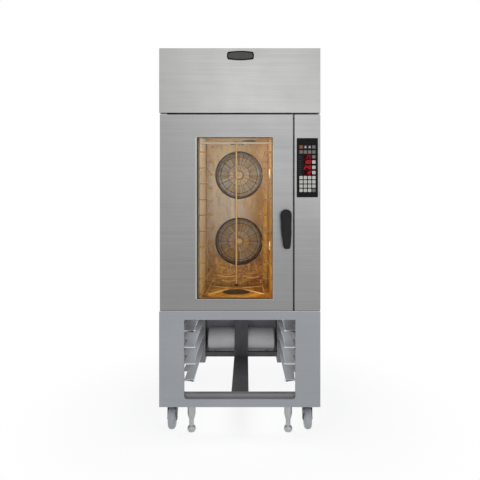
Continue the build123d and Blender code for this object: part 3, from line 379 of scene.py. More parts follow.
def cast(name, colour, other, scale, rough, metallic=0.0, depth=0.15, coat=0.0, shine=0.5):
    """A finish with a fine grain and slow colour changes, for paint, rubber, plastic and cast metal."""
    recipe = Recipe(name)
    grain = recipe.noise(scale, 4, 0.6)
    clouds = recipe.noise(scale / 30, 3, 0.5, warp=0.5)
    tone = recipe.mix(recipe.span(clouds, 0.3, 0.7), colour, other)
    tone = recipe.mix(recipe.span(grain, 0.35, 0.7, 0, 0.25), tone, scaled(other, 0.6))
    recipe.bump(grain, 0.3, depth)
    roughness = recipe.span(grain, 0.3, 0.7, rough - 0.06, rough + 0.08)
    recipe.set(Base_Color=tone, Metallic=metallic, Roughness=roughness)
    return recipe.set(Coat_Weight=coat, Specular_IOR_Level=shine)


def glow(name, colour, strength, back):
    """A surface that lights up, a little unevenly."""
    recipe = Recipe(name)
    patches = recipe.noise(160, 2, 0.5)
    lit = recipe.mix(recipe.span(patches, 0.3, 0.7), colour, scaled(colour, 0.82))
    recipe.set(Base_Color=back, Roughness=0.5, Specular_IOR_Level=0.0)
    return recipe.set(Emission_Color=lit, Emission_Strength=strength)


def pane(name, tint):
    """Clear glass that lets light straight through and mirrors the room a little, more so near its top,
    where a painted sheen raises the mirroring.
    """
    recipe = Recipe(name)
    smears = recipe.noise(6, 4, 0.6, (1, 1, 0.35), warp=0.8)
    roughness = recipe.span(smears, 0.35, 0.7, 0.02, 0.12)
    clear = recipe.node("ShaderNodeBsdfTransparent", {"Color": tint})
    shine = recipe.node("ShaderNodeBsdfGlossy", {"Color": (0.96, 0.98, 1.0), "Roughness": roughness})
    edge = recipe.node("ShaderNodeFresnel", {"IOR": 1.46})
    # Painted sheen: the share of mirroring rises towards the top of the pane
    painted_top_sheen = recipe.height(*PANE_HEIGHTS, 0.06, 0.40)
    recipe.blend(recipe.times(edge.outputs[0], painted_top_sheen), clear, shine)
    recipe.tree.nodes.remove(recipe.shader)
    return recipe.owner


# Colour, grain, roughness, clouds, metal, streaks and colour at the foot, which is painted shade
BRUSHED = {
    "hood_steel": ((0.395, 0.395, 0.39), "X", 0.36, 0.06, 1, 0.5),
    "door_steel": (grey(0.34), "X", 0.36, 0.06, 1, 0.7, (0.275, 0.275, 0.278)),
    "body_steel": (grey(0.36), "X", 0.36, 0.06, 1, 0.7, (0.29, 0.29, 0.292)),
    "stand_steel": ((0.335, 0.35, 0.37), "X", 0.42, 0.06, 0.7, 0.3),
    "tank_steel": ((0.47, 0.465, 0.48), "X", 0.62, 0.1, 0.4, 0.5),
    "trim_steel": ((0.62, 0.62, 0.6), "Z", 0.2),
    "hinge_steel": ((0.5, 0.49, 0.47), "X", 0.3),
    "foot_steel": ((0.47, 0.475, 0.49), "Z", 0.34, 0.08, 0.8, 2.2),
    # The runners' steel is lighter than the stand's: painted light, for the light that reaches into the bay
    "runner_steel": ((0.47, 0.485, 0.51), "Y", 0.42, 0.08, 0.6, 0.5),
    # The stand's tubes are darker than its sheet: painted shade inside the stand
    "tube_steel": ((0.235, 0.233, 0.243), "X", 0.45, 0.06, 0.7, 0.3),
    # The rear columns' steel is darker than the stand's: painted shade at the back of the bay
    "column_steel": ((0.21, 0.212, 0.22), "Z", 0.45, 0.08, 0.6, 0.4),
    "bay_steel": ((0.27, 0.27, 0.275), "X", 0.55, 0.12, 0.3, 0.5),
    # The runner lips' bright colour is painted highlight along the runners' front edges
    "lip_steel": ((0.8, 0.81, 0.83), "X", 0.35, 0.05, 0.5, 0.4),
}
# Two colours, grain, roughness, metal, depth of the grain, coat and shine
CAST = {
    "dark_steel": ((0.074, 0.074, 0.077), (0.056, 0.056, 0.059), 500, 0.45, 0.5),
    "castor_zinc": ((0.15, 0.16, 0.145), (0.11, 0.12, 0.105), 260, 0.48, 0.6),
    "castor_grey": ((0.42, 0.44, 0.46), (0.36, 0.38, 0.4), 500, 0.42),
    "bright_wire": ((0.84, 0.62, 0.3), (0.7, 0.48, 0.2), 300, 0.3, 0.6, 0.05),
    "golden_wire": ((0.74, 0.47, 0.14), (0.56, 0.32, 0.07), 300, 0.34, 0.6, 0.05),
    # This bright finish is painted highlight on the pan ridges and the baffle ribs; it is the spray pipe's
    # finish too
    "white_wire": ((0.86, 0.66, 0.38), (0.8, 0.58, 0.3), 300, 0.35, 0.3, 0.05),
    # The frame lip's pale colour is painted highlight along the top of the frame between the panes
    "pale_wire": ((0.74, 0.65, 0.5), (0.66, 0.56, 0.42), 300, 0.38, 0.4, 0.05),
    # The guard wire is dark as painted shade of the gap round each fan's inlet
    "guard_wire": ((0.1, 0.065, 0.045), (0.06, 0.04, 0.03), 300, 0.4, 0.8, 0.05),
    # The strainer is near black as painted shade of the drain under it
    "strainer_steel": ((0.05, 0.035, 0.025), (0.03, 0.02, 0.015), 300, 0.5, 0.6, 0.05),
    "heater_steel": ((0.1, 0.085, 0.07), grey(0.05), 400, 0.45, 0.8),
    "handle_black": ((0.011, 0.011, 0.012), (0.016, 0.016, 0.018), 700, 0.5, 0, 0.15, 0, 0.2),
    "gasket_rubber": ((0.03, 0.03, 0.032), grey(0.02), 700, 0.6),
    "motor_paint": ((0.05, 0.055, 0.06), (0.035, 0.04, 0.045), 300, 0.4, 0, 0.15, 0.3),
    "wool": ((0.55, 0.52, 0.42), (0.42, 0.38, 0.28), 90, 0.95, 0, 2),
    "brass_fitting": ((0.56, 0.4, 0.17), (0.44, 0.3, 0.12), 220, 0.3, 1),
    "black_plastic": ((0.025, 0.025, 0.027), (0.035, 0.035, 0.036), 600, 0.42),
    "board_green": ((0.02, 0.12, 0.05), (0.015, 0.09, 0.04), 300, 0.4),
    "badge_metal": ((0.035, 0.035, 0.036), grey(0.05), 400, 0.34, 0.4),
    "rim_black": (grey(0.006), grey(0.009), 500, 0.6, 0, 0.15, 0, 0.05),
    "panel_black": ((0.008, 0.008, 0.009), (0.011, 0.011, 0.012), 500, 0.55, 0, 0.15, 0, 0.1),
    "dim_print": ((0.1, 0.08, 0.1), (0.07, 0.06, 0.07), 600, 0.5),
    "figure_print": ((0.34, 0.34, 0.33), (0.28, 0.28, 0.27), 600, 0.5),
    "key_white": ((0.62, 0.62, 0.58), (0.53, 0.53, 0.49), 500, 0.45, 0, 0.05),
    "key_dim": ((0.17, 0.165, 0.15), (0.13, 0.12, 0.12), 400, 0.45, 0, 0.05),
    "key_dark": ((0.02, 0.02, 0.021), (0.03, 0.03, 0.031), 400, 0.45, 0, 0.05),
}
# Lit colour, strength and unlit colour
GLOWING = {
    "lamp_glass": ((1.0, 0.66, 0.25), 0.5, (0.8, 0.6, 0.3)),
    "display_red": ((0.5, 0.02, 0.04), 0.06, (0.02, 0.002, 0.003)),
    "lit_digit": ((0.88, 0.05, 0.06), 0.95, (0.2, 0.02, 0.02)),
    "dim_digit": ((0.6, 0.05, 0.08), 0.5, (0.25, 0.02, 0.03)),
    "key_lit": ((0.34, 0.11, 0.04), 0.4, (0.15, 0.07, 0.04)),
}
# Cool colour, warm colour and roughness
TINTED = {
    # The upper fan's pale colour is painted light on the fans behind the baffle; the lower fan's darker
    # golden copy is painted warm lamp light
    "fan_steel": ((0.82, 0.76, 0.72), (0.84, 0.66, 0.42), 0.42),
    "golden_fan": ((0.56, 0.44, 0.34), (0.62, 0.38, 0.12), 0.42),
}
# Places between foot and head, and the colours there: heat tint with painted warm lamp light, lighter
# towards the head
CHAMBER_TONES = (
    (0.0, (0.5, 0.27, 0.05)), (0.16, (0.27, 0.155, 0.07)), (0.3, (0.4, 0.29, 0.2)),
    (0.52, (0.49, 0.41, 0.34)), (0.92, (0.76, 0.63, 0.46)),
)
# Colours of the left wall and the right wall: painted light, and painted warm lamp light with heat tint
PALE, GOLDEN = (0.94, 0.9, 0.84), (0.78, 0.41, 0.02)
MATERIALS = {
    name: recipe(name, *values)
    for recipe, table in ((brushed, BRUSHED), (cast, CAST), (glow, GLOWING), (heat_tinted, TINTED))
    for name, values in table.items()
}
MATERIALS["chamber_steel"] = chamber("chamber_steel", CHAMBER_TONES, PALE, GOLDEN, 0.36)
MATERIALS["door_glass"] = pane("door_glass", (0.985, 0.987, 0.984))


# CAD nodes kept as they are, or copied with softened edges

# Each node's finish is the one that its slot names, but for these
FINISH_OF = {
    **SLOT_OF,
    "tray_runners": "runner_steel", "rear_columns": "column_steel", "stand_back_panel": "bay_steel",
    "spray_pipe": "white_wire", "fan_wheel_lower": "golden_fan",
    "tray_rack_left": "golden_wire", "tray_rack_right": "golden_wire",
}
# Width of the rounding on each copied node's edges
EDGES = {
    "hood_shell": 1.6, "control_column": 1.4, "door_outer_skin": 1.2, "door_inner_frame": 0.8,
    "side_panel_left": 0.7, "side_panel_right": 0.7, "roof_panel": 0.7, "back_panel": 0.5,
    "stand_front_frame": 0.9, "rear_columns": 1.2, "tray_runners": 1.4,
    "floor_channel": 0.8, "rear_strap": 0.8, "stand_back_panel": 0.5, "hinge_brackets": 0.8,
    "window_frame": 0.6, "control_panel": 0.4, "door_catch": 0.8,
}


def dress(node):
    """Gives a CAD node that stays its material and smooth shading."""
    mesh = frame["nodes"][node].data
    mesh.materials.clear()
    mesh.materials.append(MATERIALS[FINISH_OF[node]])
    smooth_by_angle(mesh)


def copy_of(node):
    """A bmesh of a CAD node, with its doubled points joined."""
    shape = bmesh.new()
    shape.from_mesh(frame["nodes"][node].data)
    bmesh.ops.remove_doubles(shape, verts=shape.verts, dist=2e-6)
    return shape


def join_flats(shape):
    """Joins the triangles of each flat face into one face."""
    bmesh.ops.dissolve_limit(shape, angle_limit=radians(1), verts=shape.verts, edges=shape.edges)


def soften(node, width):
    """Replaces a CAD node by a copy with its flat faces joined up and its edges rounded."""
    shape = copy_of(node)
    join_flats(shape)
    piece_from(node + "_sheet", shape, FINISH_OF[node], BODY_OF[node], (node,), width)


for node in frame["nodes"]:
    dress(node)
for node, width in EDGES.items():
    soften(node, width)


# Chamber

CHAMBER_X = (-245, 190)
CHAMBER_DEPTH = (64, 660)
CHAMBER_FLOOR = 720
# Share of the guard's radius, and radius of the wire, of each ring
GUARD_RINGS = ((1.0, 4.6), (0.78, 1.8), (0.46, 1.1), (0.19, 1.6))
GUARD_SPOKES = 28
SPOKE_WIRE = 1.0
SPOKE_OVERLAP = 0.97


def build_guards():
    """Two round wire guards in front of the fans: four rings each, joined by spokes, in a dark finish that
    is painted shade of the gap round each fan's inlet.
    """
    low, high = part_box("fan_guards")
    middle = (low + high) / 2
    radius = (high.x - low.x) / 2
    shape = bmesh.new()
    for z in (high.z - radius, low.z + radius):
        centre = Vector((middle.x, middle.y, z))
        for share, wire in GUARD_RINGS:
            add_tube(shape, circle(centre, radius * share - wire * MM, X, Z, 72), wire, 8, closed=True)
        for k, ray in enumerate(circle(Vector(), 1, X, Z, GUARD_SPOKES)):
            inner = GUARD_RINGS[-1 - k % 2][0] * SPOKE_OVERLAP
            ends = [centre + ray * radius * inner, centre + ray * (radius - 3 * SPOKE_WIRE * MM)]
            add_tube(shape, ends, SPOKE_WIRE, 6)
    piece_from("fan_guard_wires", shape, "guard_wire", replaced=("fan_guards",))


HUB_CAP = ((0, -12), (5, -12), (6, -11), (6, -3), (13, -3), (15, -1.5), (15, 0), (0, 0))
HUB_NUT = ((0, -9), (10, -9), (11, -8), (11, -3), (0, -3))
NUT_SUNK = 2


def build_fan_nuts():
    """The nut and washer that hold each fan wheel on its shaft."""
    for body in ("upper_fan", "lower_fan"):
        low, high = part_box("fan_wheel_" + body.split("_")[0])
        shape = bmesh.new()
        hub = Vector(((low.x + high.x) / 2, low.y + NUT_SUNK * MM, (low.z + high.z) / 2))
        add_turned(shape, HUB_CAP, hub, Y, 24)
        add_turned(shape, HUB_NUT, hub, Y, 6)
        piece_from(body + "_nut", shape, "bright_wire", body)


LENS = ((0, -6), (8, -5.6), (16, -4.4), (22, -2.4), (25, 0))
LENS_PROUD = 6
LAMP_RING = ((25, 0), (25, -2.6), (27, -3.4), (30, -3.4), (33, -1.8), (33.5, 0))
RING_SCREW = ((0, -1.2), (2, -1), (2.6, 0), (2.6, 0.6))
RING_SCREW_RADIUS = 29.5
RING_SCREW_PROUD = 3.2


def build_lamps():
    """A domed lens in a screwed ring, on the right wall, for each lamp."""
    low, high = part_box("oven_lamps")
    radius = (high.y - low.y) / 2
    glass, ring = bmesh.new(), bmesh.new()
    for z in (high.z - radius, low.z + radius):
        centre = Vector((low.x + LENS_PROUD * MM, (low.y + high.y) / 2, z))
        add_turned(glass, LENS, centre, X, 40)
        for inner, outer in zip(LAMP_RING, LAMP_RING[1:]):
            add_turned(ring, (inner, outer), centre, X, 40)
        for k in range(4):
            turn = tau * (k + 0.5) / 4
            reach = (Y * cos(turn) + Z * sin(turn)) * RING_SCREW_RADIUS
            add_turned(ring, RING_SCREW, centre + (reach - X * RING_SCREW_PROUD) * MM, X, 12)
    piece_from("lamp_lenses", glass, "lamp_glass")
    piece_from("lamp_rings", ring, "bright_wire")


# Place across and depth of the strainer's middle
STRAINER = (-30, 410)
STRAINER_RADIUS = 88
STRAINER_DOME = ((0, 5), (55, 4.6), (80, 3), (STRAINER_RADIUS - 1, 1), (STRAINER_RADIUS, 0), (0, 0))
# Radius and number of the holes in each row
STRAINER_ROWS = ((22, 8), (40, 14), (57, 20), (73, 26))
STRAINER_HOLE = ((0, 1.1), (3.4, 1.1), (4.6, 0.3), (4.6, 0))
HOLE_LIFT = 4.3
# Heights of the pan's edge and of its hole's rim above the chamber's floor
PAN_EDGE = 7
PAN_FOOT = 2.2
PAN_SHEET = 1.2
PAN_POINTS = 32


def build_drip_pan():
    """The drip pan, whose four faces fall towards the round strainer over the drain."""
    left, right = CHAMBER_X
    front, back = CHAMBER_DEPTH
    shape = bmesh.new()
    inner = []
    for k in range(PAN_POINTS):
        turn = tau * (k + 0.5) / PAN_POINTS - 3 * pi / 4
        x, depth = STRAINER[0] + STRAINER_RADIUS * cos(turn), STRAINER[1] + STRAINER_RADIUS * sin(turn)
        inner.append(shape.verts.new(spot(x, depth, CHAMBER_FLOOR + PAN_FOOT)))
    outer = [
        shape.verts.new(spot(x, depth, CHAMBER_FLOOR + PAN_EDGE))
        for x, depth in ((left, front), (right, front), (right, back), (left, back))
    ]
    quarter = PAN_POINTS // 4
    for side in range(4):
        far = outer[(side + 1) % 4]
        arc = [inner[(side * quarter + k) % PAN_POINTS] for k in range(quarter + 1)]
        shape.faces.new((outer[side], arc[0], arc[1], far))
        for a, b in zip(arc[1:], arc[2:]):
            shape.faces.new((a, b, far))
    pan = piece_from("drip_pan", shape, "chamber_steel")
    sheet = pan.modifiers.new("sheet", "SOLIDIFY")
    sheet.thickness = PAN_SHEET * MM


def build_strainer():
    """The domed strainer over the drain, with four rows of holes, painted near black as the shade in the
    drain under it.
    """
    shape = bmesh.new()
    centre = spot(*STRAINER, CHAMBER_FLOOR + PAN_FOOT)
    add_turned(shape, STRAINER_DOME, centre, Z, 64)
    for radius, count in STRAINER_ROWS:
        for place in circle(centre + Z * HOLE_LIFT * MM, radius * MM, X, Y, count):
            add_turned(shape, STRAINER_HOLE, place, Z, 10)
    piece_from("drain_strainer", shape, "strainer_steel")


# Place across and depth of the low end and of the high end of each ridge
PAN_RIDGES = (
    ((-88, 500), (-203, 308)), ((30, 487), (154, 307)), ((-70, 545), (-210, 620)), ((10, 545), (150, 620)),
)
RIDGE_WIRE = 3.6
RIDGE_LOW = CHAMBER_FLOOR + PAN_FOOT + 2
RIDGE_HIGH = CHAMBER_FLOOR + PAN_EDGE - 1


def build_pan_ridges():
    """The ridges that are pressed into the drip pan, in a bright finish that is painted highlight along
    each.
    """
    shape = bmesh.new()
    for low_end, high_end in PAN_RIDGES:
        add_tube(shape, [spot(*low_end, RIDGE_LOW), spot(*high_end, RIDGE_HIGH)], RIDGE_WIRE)
    piece_from("pan_ridges", shape, "white_wire")


PIPE_COLLAR = ((0, 0), (16, 0), (16, 2.5), (9, 4), (9, 12), (0, 12))
NOZZLE = ((0, -6), (5, -6), (6, -4), (6, 4), (5, 6), (0, 6))
ARM_DROP = 12
ARM_WIRE = 3
ARM_TIPS = (-30, 45)


def build_pipe_ends():
    """Flanges and a short cross arm that hold the upright pipe at the ceiling and the floor."""
    low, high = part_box("spray_pipe")
    middle = (low + high) / 2
    shape = bmesh.new()
    add_turned(shape, PIPE_COLLAR, Vector((middle.x, middle.y, low.z + PAN_EDGE * MM)), Z, 24)
    head = Vector((middle.x, middle.y, high.z))
    add_turned(shape, PIPE_COLLAR, head, -Z, 24)
    crossing = head - Z * ARM_DROP * MM
    for reach in ARM_TIPS:
        tip = crossing + X * reach * MM
        add_tube(shape, [crossing, tip], ARM_WIRE, 12)
        add_turned(shape, NOZZLE, tip, X, 16)
    piece_from("pipe_fittings", shape, "heater_steel")


# Left end, right end and height of each rib at the foot of the baffle
BAFFLE_RIBS = ((-162, -28, 793), (-138, -40, 762), (30, 128, 786))
RIB_BOW = 9
RIB_WIRE = 3.2
RIB_STEPS = 8


def build_baffle_ribs():
    """Bowed ribs pressed into the foot of the fan baffle, in a bright finish that is painted highlight
    along each.
    """
    face = depth_of(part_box("fan_baffle")[0].y)
    shares = [step / RIB_STEPS for step in range(RIB_STEPS + 1)]
    shape = bmesh.new()
    for x0, x1, z in BAFFLE_RIBS:
        points = [spot(x0 + (x1 - x0) * share, face, z - RIB_BOW * sin(pi * share)) for share in shares]
        add_tube(shape, points, RIB_WIRE, 8)
    piece_from("baffle_ribs", shape, "white_wire")


# Left and right ends of the guides that lead the air in past the baffle, and their depth behind its face
AIR_GUIDES = ((-239, -214.5), (159.5, 187))
GUIDE_DEPTH = (0.5, 2.5)
GUIDE_FOOT = 2
GUIDE_PITCH = 92.3
GUIDE_SLOT = 3


def build_air_guides():
    """Guides with slots between them, along both sides of the fan baffle."""
    low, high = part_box("fan_baffle")
    front, back = (depth_of(low.y) + depth for depth in GUIDE_DEPTH)
    head = high.z / MM
    shape = bmesh.new()
    for left, right in AIR_GUIDES:
        z = low.z / MM + GUIDE_FOOT
        while z < head - GUIDE_SLOT:
            add_block(shape, left, right, front, back, z, min(z + GUIDE_PITCH - GUIDE_SLOT, head))
            z += GUIDE_PITCH
    piece_from("air_guides", shape, "chamber_steel")


BAFFLE_KNOB = ((0, -11), (5, -11), (8, -9), (9, -6), (6, -4), (6, 0), (0, 0))
KNOB_INSET_X = 20
KNOB_INSET_Z = 35


def build_baffle_knobs():
    """Thumb nuts along both sides of the fan baffle."""
    low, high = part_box("fan_baffle")
    shape = bmesh.new()
    for x in (low.x + KNOB_INSET_X * MM, high.x - KNOB_INSET_X * MM):
        for z in (low.z + KNOB_INSET_Z * MM, (low.z + high.z) / 2, high.z - KNOB_INSET_Z * MM):
            add_turned(shape, BAFFLE_KNOB, Vector((x, low.y, z)), Y, 18)
    piece_from("baffle_knobs", shape, "bright_wire")


# Handle, panel and badge

# Height from the turning axis, sideways shift, half width and thickness of the lever, from top to foot
LEVER = (
    (32, 0, 3, 14), (30.5, 0, 11, 20), (26, 0, 20, 24), (17, 0, 28, 27),
    (5, 0, 31.6, 28), (-12, 0, 31.8, 28), (-32, 0.3, 30, 27.5), (-52, 0.8, 28.6, 27),
    (-76, 1.2, 28.9, 26.5), (-96, 2, 28.6, 26), (-118, 3, 26.6, 25), (-140, 4, 24, 24),
    (-162, 4.6, 21.6, 23), (-178, 4.8, 19.6, 21.5), (-185, 4.8, 16.5, 18), (-188, 4.8, 9, 11),
)
LEVER_SIDES = 28
LEVER_THICK = 28
# Depth of the widest line of the lever where it is thickest, and how far that line follows the thickness
LEVER_DEPTH = -35.28
LEVER_FOLLOW = 0.1
# Shares of the thickness in front of that line and behind it
LEVER_CROWN = 0.74
LEVER_BACK = 0.259
LEVER_AXIS = (257, 1227)
BOSS = ((0, 0.3), (25, 0.3), (26, 1.5), (25, 9), (21, 20), (22, 29), (0, 29))


def lever_outline(half, thick):
    """Points round the lever at one height, as place across and depth: a flat back, a crowned front."""
    middle = LEVER_DEPTH - (thick - LEVER_THICK) * LEVER_FOLLOW
    points = []
    for k in range(LEVER_SIDES):
        across, out = cos(tau * k / LEVER_SIDES), sin(tau * k / LEVER_SIDES)
        wide = half * abs(across) ** 0.85 * (1 if across > 0 else -1)
        rise = LEVER_CROWN * out ** 0.8 if out > 0 else -LEVER_BACK * abs(out) ** 0.45
        points.append((wide, middle - rise * thick))
    return points


def build_handle():
    """The lever: a lofted grip, widest round its axis, on a waisted boss."""
    axis_x, axis_z = LEVER_AXIS
    rings = []
    for drop, shift, half, thick in LEVER:
        outline = lever_outline(half, thick)
        rings.append([spot(axis_x + shift + x, depth, axis_z + drop) for x, depth in outline])
    shape = bmesh.new()
    add_rings(shape, rings)
    lever = piece_from("lever_grip", shape, "handle_black", "handle_lever", replaced=("handle",))
    smooth_form = lever.modifiers.new("smooth form", "SUBSURF")
    smooth_form.levels = smooth_form.render_levels = 1
    shape = bmesh.new()
    add_turned(shape, BOSS, spot(axis_x, 0, axis_z), -Y, 48)
    piece_from("lever_boss", shape, "handle_black", "handle_lever")


KEY_X = (343.5, 367.3, 391.1, 414.9)
KEY_Z = (1436.4, 1412.6, 1388.8, 1365.0)
SET_KEY_Z = (1464.5, 1494.0, 1523.5, 1553.0)
SYMBOL_Z = (1608, 1580)

SEGMENTS = {
    "0": "abcdef", "1": "bc", "2": "abged", "4": "fgbc", "5": "afgcd", "8": "abcdefg",
}
# Ends of each bar, as shares of the digit's half width and half height
BARS = {
    "a": ((-1, 1), (1, 1)), "b": ((1, 0), (1, 1)), "c": ((1, -1), (1, 0)), "d": ((-1, -1), (1, -1)),
    "e": ((-1, -1), (-1, 0)), "f": ((-1, 0), (-1, 1)), "g": ((-1, 0), (1, 0)),
}
DIGIT_WIDTH, DIGIT_HEIGHT, DIGIT_STROKE, DIGIT_SLANT = 8.0, 17.0, 1.7, 0.14
DIGIT_THICK = 0.15
DIGIT_PROUD = 0.05
BAR_GAP = 0.3


def add_digit(shape, digit, x, z, front):
    """One seven-bar digit round a middle, each bar a slim six-sided slab."""
    wide, tall, bold = DIGIT_WIDTH / 2, DIGIT_HEIGHT / 2, DIGIT_STROKE / 2
    for name in SEGMENTS[digit]:
        start, end = (Vector((wide * side, tall * level)) for side, level in BARS[name])
        along = (end - start).normalized()
        side = Vector((-along.y, along.x)) * bold
        start, end = start + along * BAR_GAP, end - along * BAR_GAP
        outline = (
            start, start + along * bold - side, end - along * bold - side,
            end, end - along * bold + side, start + along * bold + side,
        )
        points = [spot(x + p.x + p.y * DIGIT_SLANT, front, z + p.y) for p in outline]
        add_slab(shape, points, DIGIT_THICK)


# Figures, finish and name of each display, from top to foot
READINGS = (
    ("25", "dim_digit", "dim"), ("180", "lit_digit", "temperature"),
    ("240", "lit_digit", "time"), ("12", "lit_digit", "core"),
)
LAST_DIGIT_X = 392.5
DIGIT_PITCH = 13.2


def build_readings():
    """Plain numbers on the four displays."""
    front = depth_of(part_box("displays")[0].y) - DIGIT_PROUD
    for (digits, finish, name), z in zip(READINGS, reversed(SET_KEY_Z)):
        shape = bmesh.new()
        for place, digit in enumerate(reversed(digits)):
            add_digit(shape, digit, LAST_DIGIT_X - place * DIGIT_PITCH, z, front)
        piece_from("reading_" + name, shape, finish)


KEY_HALF = (9.4, 9.2)
KEY_CUT = 1.6
KEY_LIFT = 0.6


def add_key(shape, x, z, back):
    """One key cap with cut corners, raised from the panel."""
    wide, tall = KEY_HALF
    inner, low = wide - KEY_CUT, tall - KEY_CUT
    outline = (
        (-inner, -tall), (inner, -tall), (wide, -low), (wide, low),
        (inner, tall), (-inner, tall), (-wide, low), (-wide, -low),
    )
    add_slab(shape, [spot(x + dx, back, z + dz) for dx, dz in outline], KEY_LIFT)


def build_keys():
    """The key caps, in groups by how brightly each shows."""
    back = depth_of(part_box("control_keys")[1].y)
    *full_keys, last_key = [(x, z) for x in KEY_X for z in KEY_Z]
    set_keys = [(KEY_X[3], z) for z in SET_KEY_Z]
    top_keys, low_keys = ([(x, z) for x in KEY_X] for z in SYMBOL_Z)
    groups = (
        ("key_caps", "key_white", full_keys + set_keys[:3]),
        ("key_caps_dim", "key_dim", low_keys + [top_keys[3], set_keys[3], last_key]),
        ("key_caps_dark", "key_dark", top_keys[1:3]),
        ("key_cap_lit", "key_lit", top_keys[:1]),
    )
    for name, finish, places in groups:
        shape = bmesh.new()
        for x, z in places:
            add_key(shape, x, z, back)
        piece_from(name, shape, finish, replaced=("control_keys",), bevel=0.25)


def add_figures(shape, text, place, size):
    """Flat characters of a size in millimetres, upright on a surface that faces the front."""
    curve = bpy.data.curves.new("figures", "FONT")
    curve.body = text
    curve.size = size * MM
    curve.align_x = curve.align_y = "CENTER"
    holder = bpy.data.objects.new("figures", curve)
    mesh = bpy.data.meshes.new_from_object(holder)
    mesh.transform(Matrix.Translation(place) @ Matrix.Rotation(pi / 2, 4, "X"))
    shape.from_mesh(mesh)
    bpy.data.objects.remove(holder)


KEYPAD = ("123+", "456-", "789<", ".0:>")
FIGURE_PROUD = 0.06
# Sizes of the figures on the key field and of the rings on the set keys
FIGURE_SIZE = 11
RING_SIZE = 10
LEGEND_FRONT = -1.3
LEGEND_FOOT = SET_KEY_Z[0] - 8
LEGEND_PITCH = 12.4
LEGEND_ROWS = 9
PRINT_THICK = 0.1
SYMBOL = ((-5.5, -5), (6, -5), (4.5, 3), (-1, 6))


def build_key_figures(front):
    """Plain figures on the keys."""
    shape = bmesh.new()
    for z, figures in zip(KEY_Z, KEYPAD):
        for x, figure in zip(KEY_X, figures):
            add_figures(shape, figure, spot(x, front, z), FIGURE_SIZE)
    for z in SET_KEY_Z:
        add_figures(shape, "o", spot(KEY_X[3], front, z), RING_SIZE)
    piece_from("key_figures", shape, "figure_print")


def build_legend():
    """Rows of two short dim bars beside the displays, in place of words."""
    shape = bmesh.new()
    for row in range(LEGEND_ROWS):
        z = LEGEND_FOOT + row * LEGEND_PITCH
        for x, half in ((332, 2), (340, 4 - row % 2)):
            outline = ((x - half, z - 1), (x + half, z - 1), (x + half, z + 1), (x - half, z + 1))
            add_slab(shape, [spot(px, LEGEND_FRONT, pz) for px, pz in outline], PRINT_THICK)
    piece_from("panel_legend", shape, "dim_print")


def build_symbols(front):
    """A plain mark on each of the two dark keys."""
    shape = bmesh.new()
    for x in KEY_X[1:3]:
        add_slab(shape, [spot(x + dx, front, SYMBOL_Z[0] + dz) for dx, dz in SYMBOL], PRINT_THICK)
    piece_from("panel_symbols", shape, "key_white")


# Inset from the badge's box, and depth from its face, of the lines round the rim
BADGE_RIM = ((0.6, 0.6), (1.4, -0.9), (5.2, -0.9), (6.4, 0.6))
BADGE_BOW = 6
BADGE_SIDE_BOW = 5
BADGE_STEPS = 10


def badge_outline(half_x, half_z):
    """Points round the badge, in millimetres from its middle, with all four edges bowed outwards."""
    points = []
    for step in range(BADGE_STEPS):
        share = step / BADGE_STEPS * 2 - 1
        points.append((share * (half_x - BADGE_SIDE_BOW), half_z - BADGE_BOW * share * share))
    for step in range(BADGE_STEPS):
        share = 1 - step / BADGE_STEPS * 2
        points.append((half_x - BADGE_SIDE_BOW * share * share, share * (half_z - BADGE_BOW)))
    return points + [(-x, -z) for x, z in points]


def build_badge():
    """The dark raised rim of the bare badge plate."""
    low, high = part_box("badge")
    middle, half = (low + high) / 2, (high - low) / 2 / MM
    rings = []
    for inset, depth in BADGE_RIM:
        outline = badge_outline(half.x - inset, half.z - inset)
        rings.append([(middle.x + x * MM, low.y + depth * MM, middle.z + z * MM) for x, z in outline])
    shape = bmesh.new()
    add_rings(shape, rings, closed=True)
    piece_from("badge_rim", shape, "rim_black")


# Door trim and drip ledge

# Left, right, foot and head of the window
WINDOW = (-241, 186, 755, 1664)
BEAD_WIRE = 1.3
BEAD_REACH = 0.7 * BEAD_WIRE
BEAD_DEPTH = -0.2
BEAD_BEND = 4
BEND_STEPS = 4
# Left, right, front, back, foot and head of the strip beside the window, of the lip along the top of the
# frame between the panes, whose bright colour is painted highlight, and of the drip ledge
EDGE_STRIP = (-247, -243.5, -0.9, 0.2, 757, 1662)
FRAME_LIP = (-238, 183, 44, 50, 1633, 1641)
LEDGE = (-451, 451, 0.6, 48, 683.2, 687.4)
SEAL_DEPTH = (0.5, 1.4)
SEAL_WIDTH = 3.5
LEFT_SEAL = 10


def build_window_bead():
    """A bright bead round the window, and a strip beside its left edge."""
    left, right, foot, head = WINDOW
    reach = BEAD_REACH - BEAD_BEND
    bends = (
        (left - reach, foot - reach), (right + reach, foot - reach),
        (right + reach, head + reach), (left - reach, head + reach),
    )
    points = []
    for corner, (x, z) in enumerate(bends):
        for step in range(BEND_STEPS + 1):
            turn = tau / 4 * (corner + step / BEND_STEPS) + pi
            points.append(spot(x + BEAD_BEND * cos(turn), BEAD_DEPTH, z + BEAD_BEND * sin(turn)))
    shape = bmesh.new()
    add_tube(shape, points, BEAD_WIRE, 8, closed=True)
    add_block(shape, *EDGE_STRIP)
    piece_from("window_bead", shape, "trim_steel", "door")


def build_window_seal():
    """A dark seal between the door's skin and the outer pane, wider at the left."""
    left, right, foot, head = WINDOW
    inner_left, inner_right = left + SEAL_WIDTH, right - SEAL_WIDTH
    shape = bmesh.new()
    for x0, x1, z0, z1 in (
        (left, left + LEFT_SEAL, foot, head), (inner_right, right, foot, head),
        (inner_left, inner_right, foot, foot + SEAL_WIDTH),
        (inner_left, inner_right, head - SEAL_WIDTH, head),
    ):
        add_block(shape, x0, x1, *SEAL_DEPTH, z0, z1)
    piece_from("window_seal", shape, "gasket_rubber", "door")


